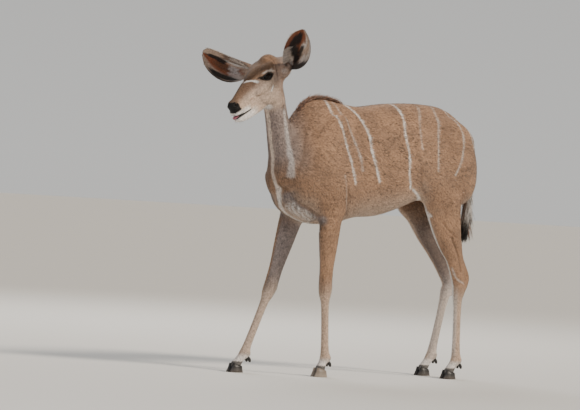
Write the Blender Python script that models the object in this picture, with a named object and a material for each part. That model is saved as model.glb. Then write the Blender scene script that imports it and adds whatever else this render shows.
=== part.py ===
"""Greater kudu cow, standing with the head raised and turned a little to its left.

A still, life-size display model. Metres, +Z up, the animal faces -X and its left side is at -Y.
Flesh is shaped as a field of sections, limbs and muscle masses that melt into one another. It is
skinned, thinned to few faces and parted into named pieces by thin blades. Eyes, ears, hooves,
tongue, lids and the locks of the mane and tail are built on it. While it is made, x = 0 is at the
left forehoof; at the end the model is centred over the origin.
"""
import math
import random

import bmesh
import bpy
import numpy as np
from mathutils import Matrix, Vector
from mathutils.bvhtree import BVHTree

# Driving dimensions
WITHERS_HEIGHT = 1.250
GAP = 0.0003
SHARP_EDGE = math.radians(50)

# Grids that the flesh is sampled on, the boxes they fill and the faces that the thinned skins keep
BODY_GRID = 0.0060
HEAD_GRID = 0.0034
BODY_BOX = ((-0.47, -0.25, -0.02), (1.00, 0.25, 1.50))
HEAD_BOX = ((-0.60, -0.16, 1.04), (-0.12, 0.16, 1.52))
BODY_FACES = 4200
HEAD_FACES = 1900
SECTION_STEPS = 6
LIMB_STEPS = 4
FIELD_FAR = 0.06
SMALLEST_PIECE = 0.02
TINY = 1e-9
NEAR_ZERO = 1e-6

# Trunk, one row a station along its length:
# x, underside, back, height of the widest point, half width, roundness above, roundness below
TRUNK = (
    (-0.235, 0.800, 0.980, 0.90, 0.055, 2.0, 2.0),
    (-0.190, 0.735, 1.096, 0.90, 0.102, 1.9, 2.1),
    (-0.110, 0.697, 1.217, 0.92, 0.138, 1.7, 2.2),
    (-0.020, 0.679, WITHERS_HEIGHT, 0.92, 0.150, 1.6, 2.2),
    (0.100, 0.690, 1.236, 0.92, 0.164, 1.7, 2.2),
    (0.200, 0.716, 1.226, 0.94, 0.184, 1.9, 2.2),
    (0.320, 0.728, 1.243, 0.95, 0.197, 2.0, 2.2),
    (0.440, 0.765, 1.254, 0.97, 0.193, 2.0, 2.2),
    (0.560, 0.810, 1.257, 1.00, 0.172, 1.9, 2.2),
    (0.680, 0.840, 1.247, 1.02, 0.158, 1.8, 2.2),
    (0.770, 0.860, 1.208, 1.00, 0.138, 1.8, 2.1),
    (0.830, 0.890, 1.160, 0.99, 0.100, 1.8, 2.0),
    (0.848, 0.930, 1.118, 1.00, 0.060, 2.0, 2.0),
)
TRUNK_END = 0.020
TRUNK_BLEND = 0.020

# Muscles of each side: centre x, y, z, the direction of the long radius in x and z, three radii
MUSCLES = (
    (-0.045, 0.098, 0.985, (0.47, 0.88), (0.215, 0.088, 0.046)),
    (-0.130, 0.096, 0.860, (0.75, -0.66), (0.095, 0.060, 0.048)),
    (0.035, 0.108, 0.855, (0.12, 1.0), (0.150, 0.058, 0.046)),
    (0.725, 0.090, 0.985, (-0.35, 1.0), (0.190, 0.118, 0.074)),
    (0.610, 0.112, 0.875, (-0.55, 1.0), (0.150, 0.095, 0.056)),
    (0.690, 0.105, 1.120, (1.0, -0.30), (0.120, 0.060, 0.050)),
)
MUSCLE_BLEND = 0.05

# Neck, from the poll down into the chest: x, z, half depth, half width
NECK = (
    (-0.312, 1.385, 0.046, 0.046),
    (-0.292, 1.300, 0.054, 0.050),
    (-0.264, 1.210, 0.054, 0.052),
    (-0.243, 1.135, 0.055, 0.057),
    (-0.217, 1.055, 0.064, 0.066),
    (-0.185, 0.985, 0.076, 0.082),
    (-0.135, 0.910, 0.092, 0.104),
)
NECK_BLEND = 0.045

# Legs: the joints are given as x and z of elbow or stifle, knee or hock, fetlock, top of the hoof
STANCE = {
    "foreleg_left": (-0.1085, ((0.006, 0.715), (0.0, 0.405), (0.021, 0.088), (-0.002, 0.034))),
    "foreleg_right": (0.1035, ((-0.050, 0.715), (-0.147, 0.390), (-0.272, 0.088), (-0.316, 0.034))),
    "hindleg_left": (-0.108, ((0.662, 0.800), (0.774, 0.448), (0.787, 0.090), (0.750, 0.034))),
    "hindleg_right": (0.094, ((0.672, 0.800), (0.882, 0.440), (0.806, 0.098), (0.762, 0.034))),
}
# Girth as half depth and half width, at places counted in bones from the elbow or stifle down
FORELEG_GIRTH = (
    (-0.45, 0.078, 0.048),
    (0.00, 0.062, 0.044),
    (0.35, 0.050, 0.037),
    (0.70, 0.036, 0.030),
    (0.92, 0.034, 0.029),
    (1.08, 0.032, 0.028),
    (1.25, 0.0215, 0.019),
    (1.60, 0.0205, 0.016),
    (1.86, 0.0215, 0.017),
    (2.00, 0.0250, 0.0215),
    (2.50, 0.0210, 0.020),
    (3.00, 0.0250, 0.024),
)
HINDLEG_GIRTH = (
    (0.00, 0.094, 0.054),
    (0.25, 0.076, 0.046),
    (0.50, 0.058, 0.038),
    (0.75, 0.040, 0.028),
    (1.00, 0.034, 0.027),
    (1.14, 0.029, 0.024),
    (1.35, 0.0225, 0.0175),
    (1.65, 0.0215, 0.0165),
    (1.88, 0.0230, 0.018),
    (2.00, 0.0265, 0.0215),
    (2.50, 0.0215, 0.020),
    (3.00, 0.0250, 0.024),
)
LEG_BLEND = 0.045
# Front of the gaskin: its middle as x and z, the direction of its long radius, three radii
GASKIN = {
    "hindleg_left": ((0.643, 0.690), (0.47, -0.88), (0.150, 0.036, 0.032)),
    "hindleg_right": ((0.700, 0.700), (0.50, -0.87), (0.120, 0.036, 0.030)),
}
GASKIN_BLEND = 0.035
# Swellings behind the knee and the fetlock: place from the joint, three radii, blend
KNEE_BONE = ((0.018, -0.006), (0.030, 0.016, 0.013), 0.015)
FETLOCK_PAD = ((0.012, -0.004), (0.018, 0.021, 0.018), 0.014)
# Heel: its point from the hock, its underside from that point, its lower end from the hock
HOCK_POINT = (0.050, 0.030)
HEEL_UNDER = (-0.010, -0.045)
HEEL_END = (0.024, -0.055)
# Tendon from the back of the calf to the heel's end: half depth and half width at five places
CALF_BACK = 0.042
TENDON_SAG = 0.003
TENDON_GIRTH = ((0.018, 0.015), (0.012, 0.009), (0.013, 0.012), (0.017, 0.015), (0.012, 0.012))
TENDON_BLEND = 0.018
# Skin stretched before the tendon: place from the middle, three radii, blend
TENDON_WEB = ((-0.002, 0.004), (0.080, 0.030, 0.011), 0.016)
# Dewclaws: radii, place behind, beside and below the fetlock, lean
DEWCLAW = (0.0085, 0.0078, 0.0150)
DEWCLAW_PLACE = (0.0215, 0.0118, -0.029)
DEWCLAW_LEAN = (-0.45, 0, 1)

# Hooves
SOLE_FRONT = 0.042
SOLE_REAR = 0.031
HOOF_HALF_WIDTH = 0.030
HOOF_TOP_HALF = 0.0255
HOOF_TOP_SLOPE = -0.26
HOOF_TOP_NARROW = 0.96
HOOF_SIDES = 16
# height and share of the full girth of the rings at the sole
SOLE_EDGE = ((0.0, 0.96), (0.006, 1.0))
TOE_PINCH = 0.30
CLEFT_WIDTH = 0.006
CLEFT_LENGTH = 0.050
CLEFT_TAPER = (1.6, 0.3)
CLEFT_MARGIN = 0.010
CLEFT_TOP = 0.060

# Tail: x, z, half depth, half width from the root down
TAIL = (
    (0.828, 1.130, 0.026, 0.030),
    (0.862, 1.126, 0.023, 0.027),
    (0.889, 1.102, 0.018, 0.023),
    (0.902, 1.050, 0.013, 0.020),
    (0.905, 0.975, 0.011, 0.018),
    (0.900, 0.900, 0.010, 0.017),
    (0.893, 0.830, 0.009, 0.015),
    (0.887, 0.715, 0.006, 0.010),
)
TAIL_UP = Vector((0.7, 0, 0.3))
TAIL_SIDES = 10
TAIL_STEPS = 2

# Head: its origin is the poll, its axis runs from there to the top of the nose.
# Places in it are given along the axis, to the side and up from the axis
POLL = Vector((-0.276, 0.0, 1.4185))
HEAD_PITCH = math.radians(43)
HEAD_TURN = math.radians(5)
# place along, underside, top, height of the widest point, half width, roundness above and below
SKULL = (
    (-0.030, -0.075, -0.020, -0.050, 0.036, 2.0, 2.0),
    (0.000, -0.100, 0.000, -0.045, 0.054, 2.3, 2.0),
    (0.040, -0.110, 0.020, -0.030, 0.063, 2.5, 2.0),
    (0.080, -0.115, 0.034, -0.015, 0.065, 2.5, 2.0),
    (0.120, -0.120, 0.040, -0.010, 0.058, 2.4, 2.0),
    (0.160, -0.126, 0.040, -0.020, 0.050, 2.3, 2.0),
    (0.200, -0.126, 0.034, -0.030, 0.042, 2.1, 2.0),
    (0.240, -0.118, 0.028, -0.035, 0.037, 2.1, 2.0),
    (0.275, -0.109, 0.021, -0.042, 0.033, 2.1, 2.1),
    (0.303, -0.102, 0.015, -0.043, 0.031, 2.2, 2.2),
    (0.326, -0.095, 0.008, -0.043, 0.028, 2.2, 2.2),
    (0.340, -0.086, 0.000, -0.042, 0.022, 2.2, 2.2),
)
MUZZLE_END = 0.012
SKULL_BLEND = 0.020
# Masses of each side of the head: place, radii along, sideways and up, blend
BROW = ((0.105, 0.045, 0.015), (0.050, 0.018, 0.016), 0.020)
CHEEKBONE = ((0.145, 0.046, -0.036), (0.070, 0.018, 0.020), 0.025)
CHEEK = ((0.140, 0.036, -0.088), (0.060, 0.022, 0.045), 0.030)
NOSTRIL_WING = ((0.322, 0.017, -0.010), (0.024, 0.016, 0.018), 0.010)
UPPER_LIP = ((0.308, 0.018, -0.044), (0.042, 0.015, 0.015), 0.013)
JAW_BONE = ((0.240, 0.018, -0.103), (0.105, 0.014, 0.018), 0.018)
CHIN = ((0.330, 0.0, -0.079), (0.031, 0.021, 0.016), 0.013)
JAW_SLOPE = 0.20

EYE_PLACE = (0.126, 0.0455, -0.006)
EYE_RADIUS = 0.0235
EYE_TILT = math.radians(20)
LID_FRONT = 0.029
LID_REAR = -0.024
LID_TOP = 0.0155
LID_BOTTOM = -0.0145
LID_THICK = 0.0034
UPPER_LID_THICK = 1.25 * LID_THICK
LID_PLACES = (0.0, 0.14, 0.32, 0.5, 0.68, 0.86, 1.0)
LID_ROUNDNESS = 0.8
LID_TAPER = 0.55
LID_OFF_EYE = 0.0010
LID_SINK = 0.0005
SKIN_OVER_EYE = 0.0125

NOSTRIL = ((0.3305, 0.0255, -0.0025), (0.0112, 0.0092, 0.0060))
# Line of the mouth, from its corner forward: place along, lower edge, upper edge
MOUTH = ((0.278, -0.0745, -0.0735), (0.310, -0.0680, -0.0650), (0.335, -0.0645, -0.0550),
         (0.352, -0.0640, -0.0500), (0.400, -0.0640, -0.0400))
MOUTH_CUT_HALF = 0.07
# Tongue: place along, half width, thickness, and its ring as shares of half width and thickness
TONGUE = ((0.318, 0.0080, 0.0020), (0.329, 0.0120, 0.0048), (0.340, 0.0140, 0.0078),
          (0.352, 0.0130, 0.0085), (0.359, 0.0085, 0.0060))
TONGUE_RING = ((1, 0), (0.4, 0), (-0.4, 0), (-1, 0), (-0.85, 0.6), (-0.4, 1), (0.4, 1), (0.85, 0.6))

# Ears: root place, aim of the ear, side that its cup opens to, how far it bows, length
EAR_WALL = 0.0036
EAR_WALL_TAPER = (1.5, 0.7)
THINNEST_EAR = 0.5
EAR_STALK = 0.020
EAR_HOLLOW = 0.016
EARS = {
    "left": ((0.026, 0.064, -0.050), Vector((-0.066, -0.183, 0.155)), Vector((-0.62, -0.74, -0.06)),
             Vector((0.009, -0.007, -0.012)), 0.260),
    "right": ((0.044, -0.078, -0.040), Vector((-0.185, 0.181, 0.054)), Vector((-0.55, -0.72, -0.30)),
              Vector((0.002, -0.002, -0.033)), 0.280),
}
EAR_ROOT = (0.042, 0.025, 0.025)
EAR_ROOT_BLEND = 0.03
EAR_CUT = 0.026
EAR_BLADE = 0.074
# along the ear, radius of its curl, half angle that the curl takes
EAR_CURL = ((0.02, 0.018, 165), (0.16, 0.027, 148), (0.32, 0.045, 118), (0.50, 0.057, 98),
            (0.68, 0.060, 88), (0.84, 0.054, 78), (0.94, 0.040, 70), (1.00, 0.019, 60))
EAR_COLUMNS = 10

# Blades between the pieces: centre, the direction across the blade, length and width
HEAD_CUT = (Vector((-0.262, 0.0, 1.195)), Vector((-0.486, 0.0, 0.874)), 0.30, 0.30)
NECK_CUT = (Vector((-0.2175, 0.0, 1.0775)), Vector((-0.879, 0.0, 0.477)), 0.34, 0.40)
TAIL_CUT = (Vector((0.884, 0.0, 1.107)), Vector((-0.55, 0.0, 0.835)), 0.080, 0.10)
# Blade at the top of a leg: centre from the joint, outwards and above it, direction, length and width
TOP_CUT = {
    "fore": ((0.0, 0.112, 0.020), (0.0, 0.60, 0.80), 0.27, 0.268),
    "hind": ((-0.012, 0.118, 0.040), (-0.40, 0.88, 1.0), 0.46, 0.288),
}
CUT_BELOW_KNEE = 0.060
KNEE_BLADE = (0.16, 0.12)
HOOF_BLADE = (0.12, 0.12)
# A place on each piece, by which it is told from the others once they are parted
TORSO_PLACE = (0.30, 0.0, 1.24)
NECK_PLACE = (-0.20, 0.0, 1.14)
FACE_PLACE = (0.15, 0.0, 0.045)

# Locks: length, width and thickness, and how their width goes from the root to the tip
NAPE_LOCK = (0.026, 0.012, 0.0030)
WITHERS_LOCK = (0.050, 0.015, 0.0036)
TAIL_LOCK = (0.100, 0.017, 0.0036)
LOCK_SPREAD = ((-0.18, 0.85), (0.25, 1.0), (0.65, 0.80), (1.0, 0.16))
THINNEST_LOCK = 0.0005
LOCK_SIDES = 4
LOCK_SEED = 11
SIZE_SPREAD = (0.85, 1.1)
RAY_START = 1.5
# Mane on the withers: its rows to the side, roots in a row, the first root and the step between
# two, how far each row starts behind the last, and what a lock's aim is made of
WITHERS_ROWS = (-0.008, 0.008, 0.0)
WITHERS_ROOTS = 11
WITHERS_START = -0.128
WITHERS_STEP = 0.0175
WITHERS_ROW_SHIFT = 0.006
WITHERS_SWEEP = 0.86
WITHERS_RISE = 0.30
RISE_PER_ROW = 0.08
RISE_PER_ROOT = -0.020
WITHERS_SPLAY = 12
WITHERS_STRAY = 0.08
RISE_STRAY = 0.05
WITHERS_BEND = (-0.12, 0.02)
LOCK_ROLL = 20
# Hair down the nape, in the same way, from the top row downwards
NAPE_ROWS = (-0.011, 0.0, 0.011)
NAPE_ROOTS = 6
NAPE_TOP = 1.205
NAPE_STEP = 0.0085
NAPE_SHRINK = 0.05
NAPE_AIM = (0.62, -0.60)
NAPE_STRAY = 0.06
NAPE_SPLAY = 18
NAPE_BEND = 0.10
NAPE_RAY = 0.1
# Fringe down both sides of the tail, which starts at the fourth of its knots
FRINGE_ROOTS = 7
FRINGE_KNOT = 3
FRINGE_STEPS = 8
FRINGE_OUT = 0.55
FRINGE_SPREAD = (0.20, -0.012)
FRINGE_BACK = 0.04
FRINGE_STRAY = 0.03
FRINGE_SIZE = (0.9, 1.1)
FRINGE_BEND = 0.05
# Tuft at the tail's end: locks in a fan, with their roots at three heights
TUFT_LOCKS = 9
TUFT_ROOT = (0.888, 0.006, 0.735)
TUFT_STAGGER = (0.002, 0.012)
TUFT_LENGTH = (1.32, -0.30)
TUFT_SIZE = (0.95, 1.05)
TUFT_AIM = (0.17, 0.05, 0.24)
TUFT_BEND = 0.12

# Linear colour and roughness
FINISHES = {
    "fawn coat": ((0.262, 0.176, 0.112), 0.85),
    "grey neck": ((0.285, 0.215, 0.160), 0.85),
    "leg coat": ((0.310, 0.225, 0.160), 0.85),
    "ear skin": ((0.200, 0.110, 0.075), 0.80),
    "eye": ((0.010, 0.007, 0.006), 0.08),
    "hoof": ((0.018, 0.017, 0.018), 0.45),
    "tail hair": ((0.150, 0.110, 0.085), 0.85),
    "tongue": ((0.520, 0.200, 0.190), 0.45),
}


def smooth_rows(knots, steps):
    """Rows of numbers resampled along a smooth curve that passes through every knot."""
    rows = [np.array(knot, float) for knot in knots]
    rows = [2 * rows[0] - rows[1]] + rows + [2 * rows[-1] - rows[-2]]
    result = []
    for before, start, end, after in zip(rows, rows[1:], rows[2:], rows[3:]):
        leave, arrive = (end - before) / 2, (after - start) / 2
        for t in np.arange(steps) / steps:
            result.append((2 * t ** 3 - 3 * t ** 2 + 1) * start + (t ** 3 - 2 * t ** 2 + t) * leave
                          + (3 * t ** 2 - 2 * t ** 3) * end + (t ** 3 - t ** 2) * arrive)
    result.append(rows[-2])
    return np.array(result)


class Flesh:
    """Distances to the skin on a grid of points, negative inside. Each addition melts into the rest."""

    def __init__(self, low, high, step):
        self.low = np.array(low, float)
        self.step = step
        counts = np.ceil((np.array(high) - self.low) / step).astype(int) + 1
        self.value = np.full(counts, FIELD_FAR, np.float32)

    def block(self, low, high):
        """The slices of the grid that hold a box, and the coordinates of their points."""
        first = np.clip(np.floor((np.array(low) - self.low) / self.step).astype(int), 0, self.value.shape)
        last = np.clip(np.ceil((np.array(high) - self.low) / self.step).astype(int) + 1, 0, self.value.shape)
        spans = [np.arange(first[k], last[k]) * self.step + self.low[k] for k in range(3)]
        x, y, z = np.meshgrid(*spans, indexing="ij", sparse=True)
        return tuple(slice(first[k], last[k]) for k in range(3)), x, y, z

    def melt(self, region, distance, blend):
        """Adds a shape, with a fillet of about the blend's width where it meets the rest."""
        old = self.value[region]
        closeness = np.clip(blend - np.abs(old - distance), 0, None) / blend
        self.value[region] = np.minimum(old, distance) - closeness ** 2 * blend / 4

    def mass(self, centre, radii, axes, blend):
        """An ellipsoid with its radii along three given directions."""
        centre = np.array(centre, float)
        reach = max(radii) + blend + 2 * self.step
        region, x, y, z = self.block(centre - reach, centre + reach)
        dx, dy, dz = x - centre[0], y - centre[1], z - centre[2]
        norm = TINY
        square = 0
        for radius, axis in zip(radii, axes):
            along = dx * axis[0] + dy * axis[1] + dz * axis[2]
            norm = norm + (along / radius) ** 2
            square = square + along ** 2
        self.melt(region, np.sqrt(square) * (1 - norm ** -0.5), blend)

    def sections(self, origin, axes, knots, end, blend):
        """Upright sections along an axis, rounded off past both ends over the given length."""
        rows = smooth_rows(knots, SECTION_STEPS)
        origin = np.array(origin, float)
        corners = [origin + row[0] * axes[0] + side * axes[1] + height * axes[2]
                   for row in rows for side in (-row[4], row[4]) for height in (row[1], row[2])]
        margin = end + blend + 2 * self.step
        region, x, y, z = self.block(np.min(corners, 0) - margin, np.max(corners, 0) + margin)
        dx, dy, dz = x - origin[0], y - origin[1], z - origin[2]
        along, side, up = (dx * axis[0] + dy * axis[1] + dz * axis[2] for axis in axes)
        along, side, up = np.broadcast_arrays(along, side, up)
        columns = [np.interp(along, rows[:, 0], rows[:, k]) for k in range(1, 7)]
        bottom, top, widest, half, above, below = columns
        past = np.clip(np.maximum(rows[0, 0] - along, along - rows[-1, 0]), 0, None)
        rise = up - widest
        reach = np.where(rise > 0, top - widest, widest - bottom)
        power = np.where(rise > 0, above, below)
        norm = (np.abs(side) / half) ** power + (np.abs(rise) / reach) ** power + (past / end) ** power
        norm = norm ** (1 / power) + NEAR_ZERO
        self.melt(region, np.sqrt(side ** 2 + rise ** 2 + past ** 2) * (1 - 1 / norm), blend)

    def limb(self, knots, blend):
        """A smooth limb in an upright plane: x, y, z, half depth and half width at each knot."""
        rows = smooth_rows(knots, LIMB_STEPS)
        reach = rows[:, 3:5].max() + blend + 2 * self.step
        region, x, y, z = self.block(rows[:, :3].min(0) - reach, rows[:, :3].max(0) + reach)
        nearest = np.full(np.broadcast_shapes(x.shape, y.shape, z.shape), FIELD_FAR, np.float32)
        for start, end in zip(rows, rows[1:]):
            reach = max(start[3:5].max(), end[3:5].max()) + blend + 2 * self.step
            low = np.minimum(start[:3], end[:3]) - reach
            high = np.maximum(start[:3], end[:3]) + reach
            part, x, y, z = self.block(low, high)
            inner = tuple(slice(p.start - r.start, p.stop - r.start) for p, r in zip(part, region))
            length = np.linalg.norm(end[:3] - start[:3])
            axis = (end[:3] - start[:3]) / length
            dx, dy, dz = x - start[0], y - start[1], z - start[2]
            t = np.clip((dx * axis[0] + dy * axis[1] + dz * axis[2]) / length, 0, 1)
            dx, dy, dz = (d - t * length * a for d, a in zip((dx, dy, dz), axis))
            depth = start[3] + t * (end[3] - start[3])
            width = start[4] + t * (end[4] - start[4])
            past = dx * axis[0] + dy * axis[1] + dz * axis[2]
            sideways = dy - past * axis[1]
            square = dx ** 2 + dy ** 2 + dz ** 2
            fore = np.clip(square - past ** 2 - sideways ** 2, 0, None)
            norm = fore / depth ** 2 + (sideways ** 2 + past ** 2) / width ** 2 + TINY
            nearest[inner] = np.minimum(nearest[inner], np.sqrt(square) * (1 - norm ** -0.5))
        self.melt(region, nearest, blend)

    def skin(self):
        """Vertices and quads of the surface: one vertex in each grid cell that it crosses."""
        value = self.value
        for k in range(3):
            for end in (0, -1):
                value[tuple(end if axis == k else slice(None) for axis in range(3))] = FIELD_FAR
        cells = np.array(value.shape) - 1
        inside = value < 0
        count = np.zeros(cells, np.int8)
        for i, j, k in np.ndindex(2, 2, 2):
            count += inside[i:i + cells[0], j:j + cells[1], k:k + cells[2]]
        crossed = (count > 0) & (count < 8)
        cell = np.argwhere(crossed)
        number = np.full(cells, -1)
        number[crossed] = np.arange(len(cell))
        total = np.zeros((len(cell), 3))
        hits = np.zeros((len(cell), 1))
        unit = np.eye(3, dtype=int)
        for axis in range(3):
            first, second = unit[(axis + 1) % 3], unit[(axis + 2) % 3]
            for a, b in np.ndindex(2, 2):
                start = cell + a * first + b * second
                near = value[tuple(start.T)]
                far = value[tuple((start + unit[axis]).T)]
                crosses = (near < 0) != (far < 0)
                fraction = np.where(crosses, near / np.where(crosses, near - far, 1), 0)
                total += (start + fraction[:, None] * unit[axis]) * crosses[:, None]
                hits += crosses[:, None]
        points = self.low + self.step * total / hits
        quads = []
        for axis in range(3):
            first, second = unit[(axis + 1) % 3], unit[(axis + 2) % 3]
            edge = np.argwhere(inside != np.roll(inside, -1, axis))
            keep = edge[:, axis] < cells[axis]
            for other in ((axis + 1) % 3, (axis + 2) % 3):
                keep &= (edge[:, other] > 0) & (edge[:, other] < cells[other])
            edge = edge[keep]
            ring = (edge - first - second, edge - second, edge, edge - first)
            quad = np.stack([number[tuple(corner.T)] for corner in ring], 1)
            entering = ~inside[tuple(edge.T)]
            quad[entering] = quad[entering][:, ::-1]
            quads.append(quad)
        return points, np.concatenate(quads)


def link(name, mesh):
    """A new object in the scene."""
    made = bpy.data.objects.new(name, mesh)
    bpy.context.scene.collection.objects.link(made)
    return made


def face_out(target):
    """Splits the faces of a closed mesh into triangles and turns them all outwards."""
    shape = bmesh.new()
    shape.from_mesh(target.data)
    bmesh.ops.triangulate(shape, faces=shape.faces[:])
    bmesh.ops.recalc_face_normals(shape, faces=shape.faces[:])
    if shape.calc_volume(signed=True) < 0:
        bmesh.ops.reverse_faces(shape, faces=shape.faces[:])
    shape.to_mesh(target.data)
    shape.free()


def mesh_object(name, points, faces):
    """A closed mesh object from points and faces."""
    mesh = bpy.data.meshes.new(name)
    mesh.from_pydata([tuple(point) for point in points], [], [tuple(int(i) for i in face) for face in faces])
    mesh.update()
    made = link(name, mesh)
    face_out(made)
    return made


def apply_modifiers(target):
    """Turns what the modifiers make of a mesh into the mesh itself."""
    graph = bpy.context.evaluated_depsgraph_get()
    made = bpy.data.meshes.new_from_object(target.evaluated_get(graph))
    target.modifiers.clear()
    old = target.data
    target.data = made
    bpy.data.meshes.remove(old)


def thin_out(target, faces):
    """Thins a mesh to about the given count of triangles, keeping its form."""
    modifier = target.modifiers.new("thin out", "DECIMATE")
    modifier.ratio = min(1.0, faces / len(target.data.polygons))
    apply_modifiers(target)


def combine(target, operation, others):
    """Joins or cuts the target with several closed meshes, which are then removed."""
    group = bpy.data.collections.new("operands")
    bpy.context.scene.collection.children.link(group)
    for other in others:
        bpy.context.scene.collection.objects.unlink(other)
        group.objects.link(other)
    modifier = target.modifiers.new(operation.lower(), "BOOLEAN")
    modifier.operation = operation
    modifier.operand_type = "COLLECTION"
    modifier.collection = group
    modifier.solver = "EXACT"
    apply_modifiers(target)
    for other in others:
        bpy.data.objects.remove(other, do_unlink=True)
    bpy.data.collections.remove(group)


def loose_pieces(target):
    """The separate surfaces of a mesh, each as a list of its vertices' numbers."""
    shape = bmesh.new()
    shape.from_mesh(target.data)
    shape.verts.ensure_lookup_table()
    seen = set()
    pieces = []
    for vertex in shape.verts:
        if vertex.index in seen:
            continue
        seen.add(vertex.index)
        stack = [vertex]
        piece = []
        while stack:
            current = stack.pop()
            piece.append(current.index)
            for edge in current.link_edges:
                other = edge.other_vert(current)
                if other.index not in seen:
                    seen.add(other.index)
                    stack.append(other)
        pieces.append(piece)
    shape.free()
    return pieces


def keep_piece(target, piece):
    """Deletes all of a mesh but one of its surfaces and triangulates it."""
    shape = bmesh.new()
    shape.from_mesh(target.data)
    wanted = set(piece)
    bmesh.ops.delete(shape, geom=[v for v in shape.verts if v.index not in wanted], context="VERTS")
    shape.to_mesh(target.data)
    shape.free()
    face_out(target)


def extent(target, piece):
    """Corner to corner length of one of a mesh's surfaces."""
    points = np.array([target.data.vertices[i].co for i in piece])
    return np.linalg.norm(points.max(0) - points.min(0))


def keep_largest(target):
    """Keeps only the largest closed surface of a mesh."""
    pieces = loose_pieces(target)
    keep_piece(target, max(pieces, key=lambda piece: extent(target, piece)))


def split(target, places):
    """Parts a mesh into its loose pieces: each name takes the piece with the vertex nearest its place."""
    pieces = [piece for piece in loose_pieces(target) if extent(target, piece) > SMALLEST_PIECE]
    clouds = [np.array([target.data.vertices[i].co for i in piece]) for piece in pieces]
    made = {}
    target.name = "whole"
    for name, place in places.items():
        distances = [np.linalg.norm(cloud - np.array(place), axis=1).min() for cloud in clouds]
        node = link(name, target.data.copy())
        keep_piece(node, pieces[int(np.argmin(distances))])
        made[name] = node
    bpy.data.objects.remove(target, do_unlink=True)
    return made


def turned(up, across=Vector((0, 1, 0))):
    """A rotation whose z axis is the given direction and whose y axis is near the second one."""
    up = Vector(up).normalized()
    forward = Vector(across).cross(up).normalized()
    return Matrix((forward, up.cross(forward), up)).transposed()


def shaped(name, shape, centre, rotation, size):
    """An object from a bmesh primitive of unit size, stretched, turned and placed."""
    shape.transform(Matrix.Translation(Vector(centre)) @ rotation.to_4x4() @ Matrix.Diagonal((*size, 1.0)))
    mesh = bpy.data.meshes.new(name)
    shape.to_mesh(mesh)
    shape.free()
    return link(name, mesh)


def blade(centre, up, length, width):
    """A thin blade across the given direction, as thick as the gap that touching pieces keep."""
    shape = bmesh.new()
    bmesh.ops.create_cube(shape, size=1.0)
    return shaped("blade", shape, centre, turned(up), (length, width, GAP))


def ball(name, centre, radii, rotation, segments=14, rings=9):
    """A closed ellipsoid."""
    shape = bmesh.new()
    bmesh.ops.create_uvsphere(shape, u_segments=segments, v_segments=rings, radius=1.0)
    bmesh.ops.triangulate(shape, faces=shape.faces[:])
    return shaped(name, shape, centre, rotation, radii)


def loft(name, rings):
    """A closed mesh through rings with the same number of points, capped at both ends."""
    count = len(rings[0])
    faces = [tuple(range(count)), tuple(range((len(rings) - 1) * count, len(rings) * count))]
    for i in range(len(rings) - 1):
        for j in range(count):
            k = (j + 1) % count
            faces.append((i * count + j, i * count + k, (i + 1) * count + k, (i + 1) * count + j))
    return mesh_object(name, [point for ring in rings for point in ring], faces)


def tube(name, points, widths, heights, up, sides):
    """A closed tube of elliptic rings along a path."""
    rings = []
    last = len(points) - 1
    for i, centre in enumerate(points):
        ahead = (Vector(points[min(i + 1, last)]) - Vector(points[max(i - 1, 0)])).normalized()
        side = ahead.cross(up).normalized()
        rise = side.cross(ahead)
        angles = [math.tau * (j + 0.5) / sides for j in range(sides)]
        rings.append([Vector(centre) + side * widths[i] * math.cos(a) + rise * heights[i] * math.sin(a)
                      for a in angles])
    return loft(name, rings)


def plane_axes(x, z):
    """Three directions: one given in the upright plane, one across it in that plane, one sideways."""
    along = Vector((x, 0, z)).normalized()
    across = along.cross(Vector((0, 1, 0)))
    return along, across, Vector((0, 1, 0))


def free_axes(along):
    """Three directions at right angles, the first one given."""
    along = Vector(along).normalized()
    side = along.orthogonal().normalized()
    return along, side, along.cross(side)


def head_axes():
    """Directions along the head, to its left and up from its axis."""
    along = Vector((-math.cos(HEAD_PITCH) * math.cos(HEAD_TURN),
                    -math.cos(HEAD_PITCH) * math.sin(HEAD_TURN), -math.sin(HEAD_PITCH)))
    left = Vector((math.sin(HEAD_TURN), -math.cos(HEAD_TURN), 0.0))
    return along, left, along.cross(left)


def head_point(along, left, up):
    """A point given in the head's own directions from the poll."""
    axes = head_axes()
    return POLL + axes[0] * along + axes[1] * left + axes[2] * up


def mirrored(place, side):
    """A place in the head, on the left for 1 and on the right for -1."""
    return head_point(place[0], side * place[1], place[2])


def limb_knots(leg, girth):
    """Knots of a leg: its girths set along the broken line of its joints."""
    y, joints = STANCE[leg]
    knots = []
    for place, depth, width in girth:
        bone = min(max(int(place), 0), 2)
        t = place - bone
        (x0, z0), (x1, z1) = joints[bone], joints[bone + 1]
        knots.append((x0 + t * (x1 - x0), y, z0 + t * (z1 - z0), depth, width))
    return knots


def add_trunk(flesh):
    """Trunk with the muscles of the shoulders, thighs and croup."""
    flesh.sections((0, 0, 0), np.eye(3), TRUNK, TRUNK_END, TRUNK_BLEND)
    for x, y, z, aim, radii in MUSCLES:
        for side in (-1, 1):
            flesh.mass((x, side * y, z), radii, plane_axes(*aim), MUSCLE_BLEND)


def add_neck(flesh):
    """Neck from behind the jaw down into the chest."""
    flesh.limb([(x, 0.0, z, depth, width) for x, z, depth, width in NECK], NECK_BLEND)


def add_foreleg(flesh, leg):
    """A foreleg down to the top of the hoof, with the bone behind its knee."""
    y, (elbow, knee, fetlock, hoof) = STANCE[leg]
    flesh.limb(limb_knots(leg, FORELEG_GIRTH), LEG_BLEND)
    (back, up), radii, blend = KNEE_BONE
    forearm = plane_axes(elbow[0] - knee[0], elbow[1] - knee[1])
    flesh.mass((knee[0] + back, y, knee[1] + up), radii, forearm, blend)


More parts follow.
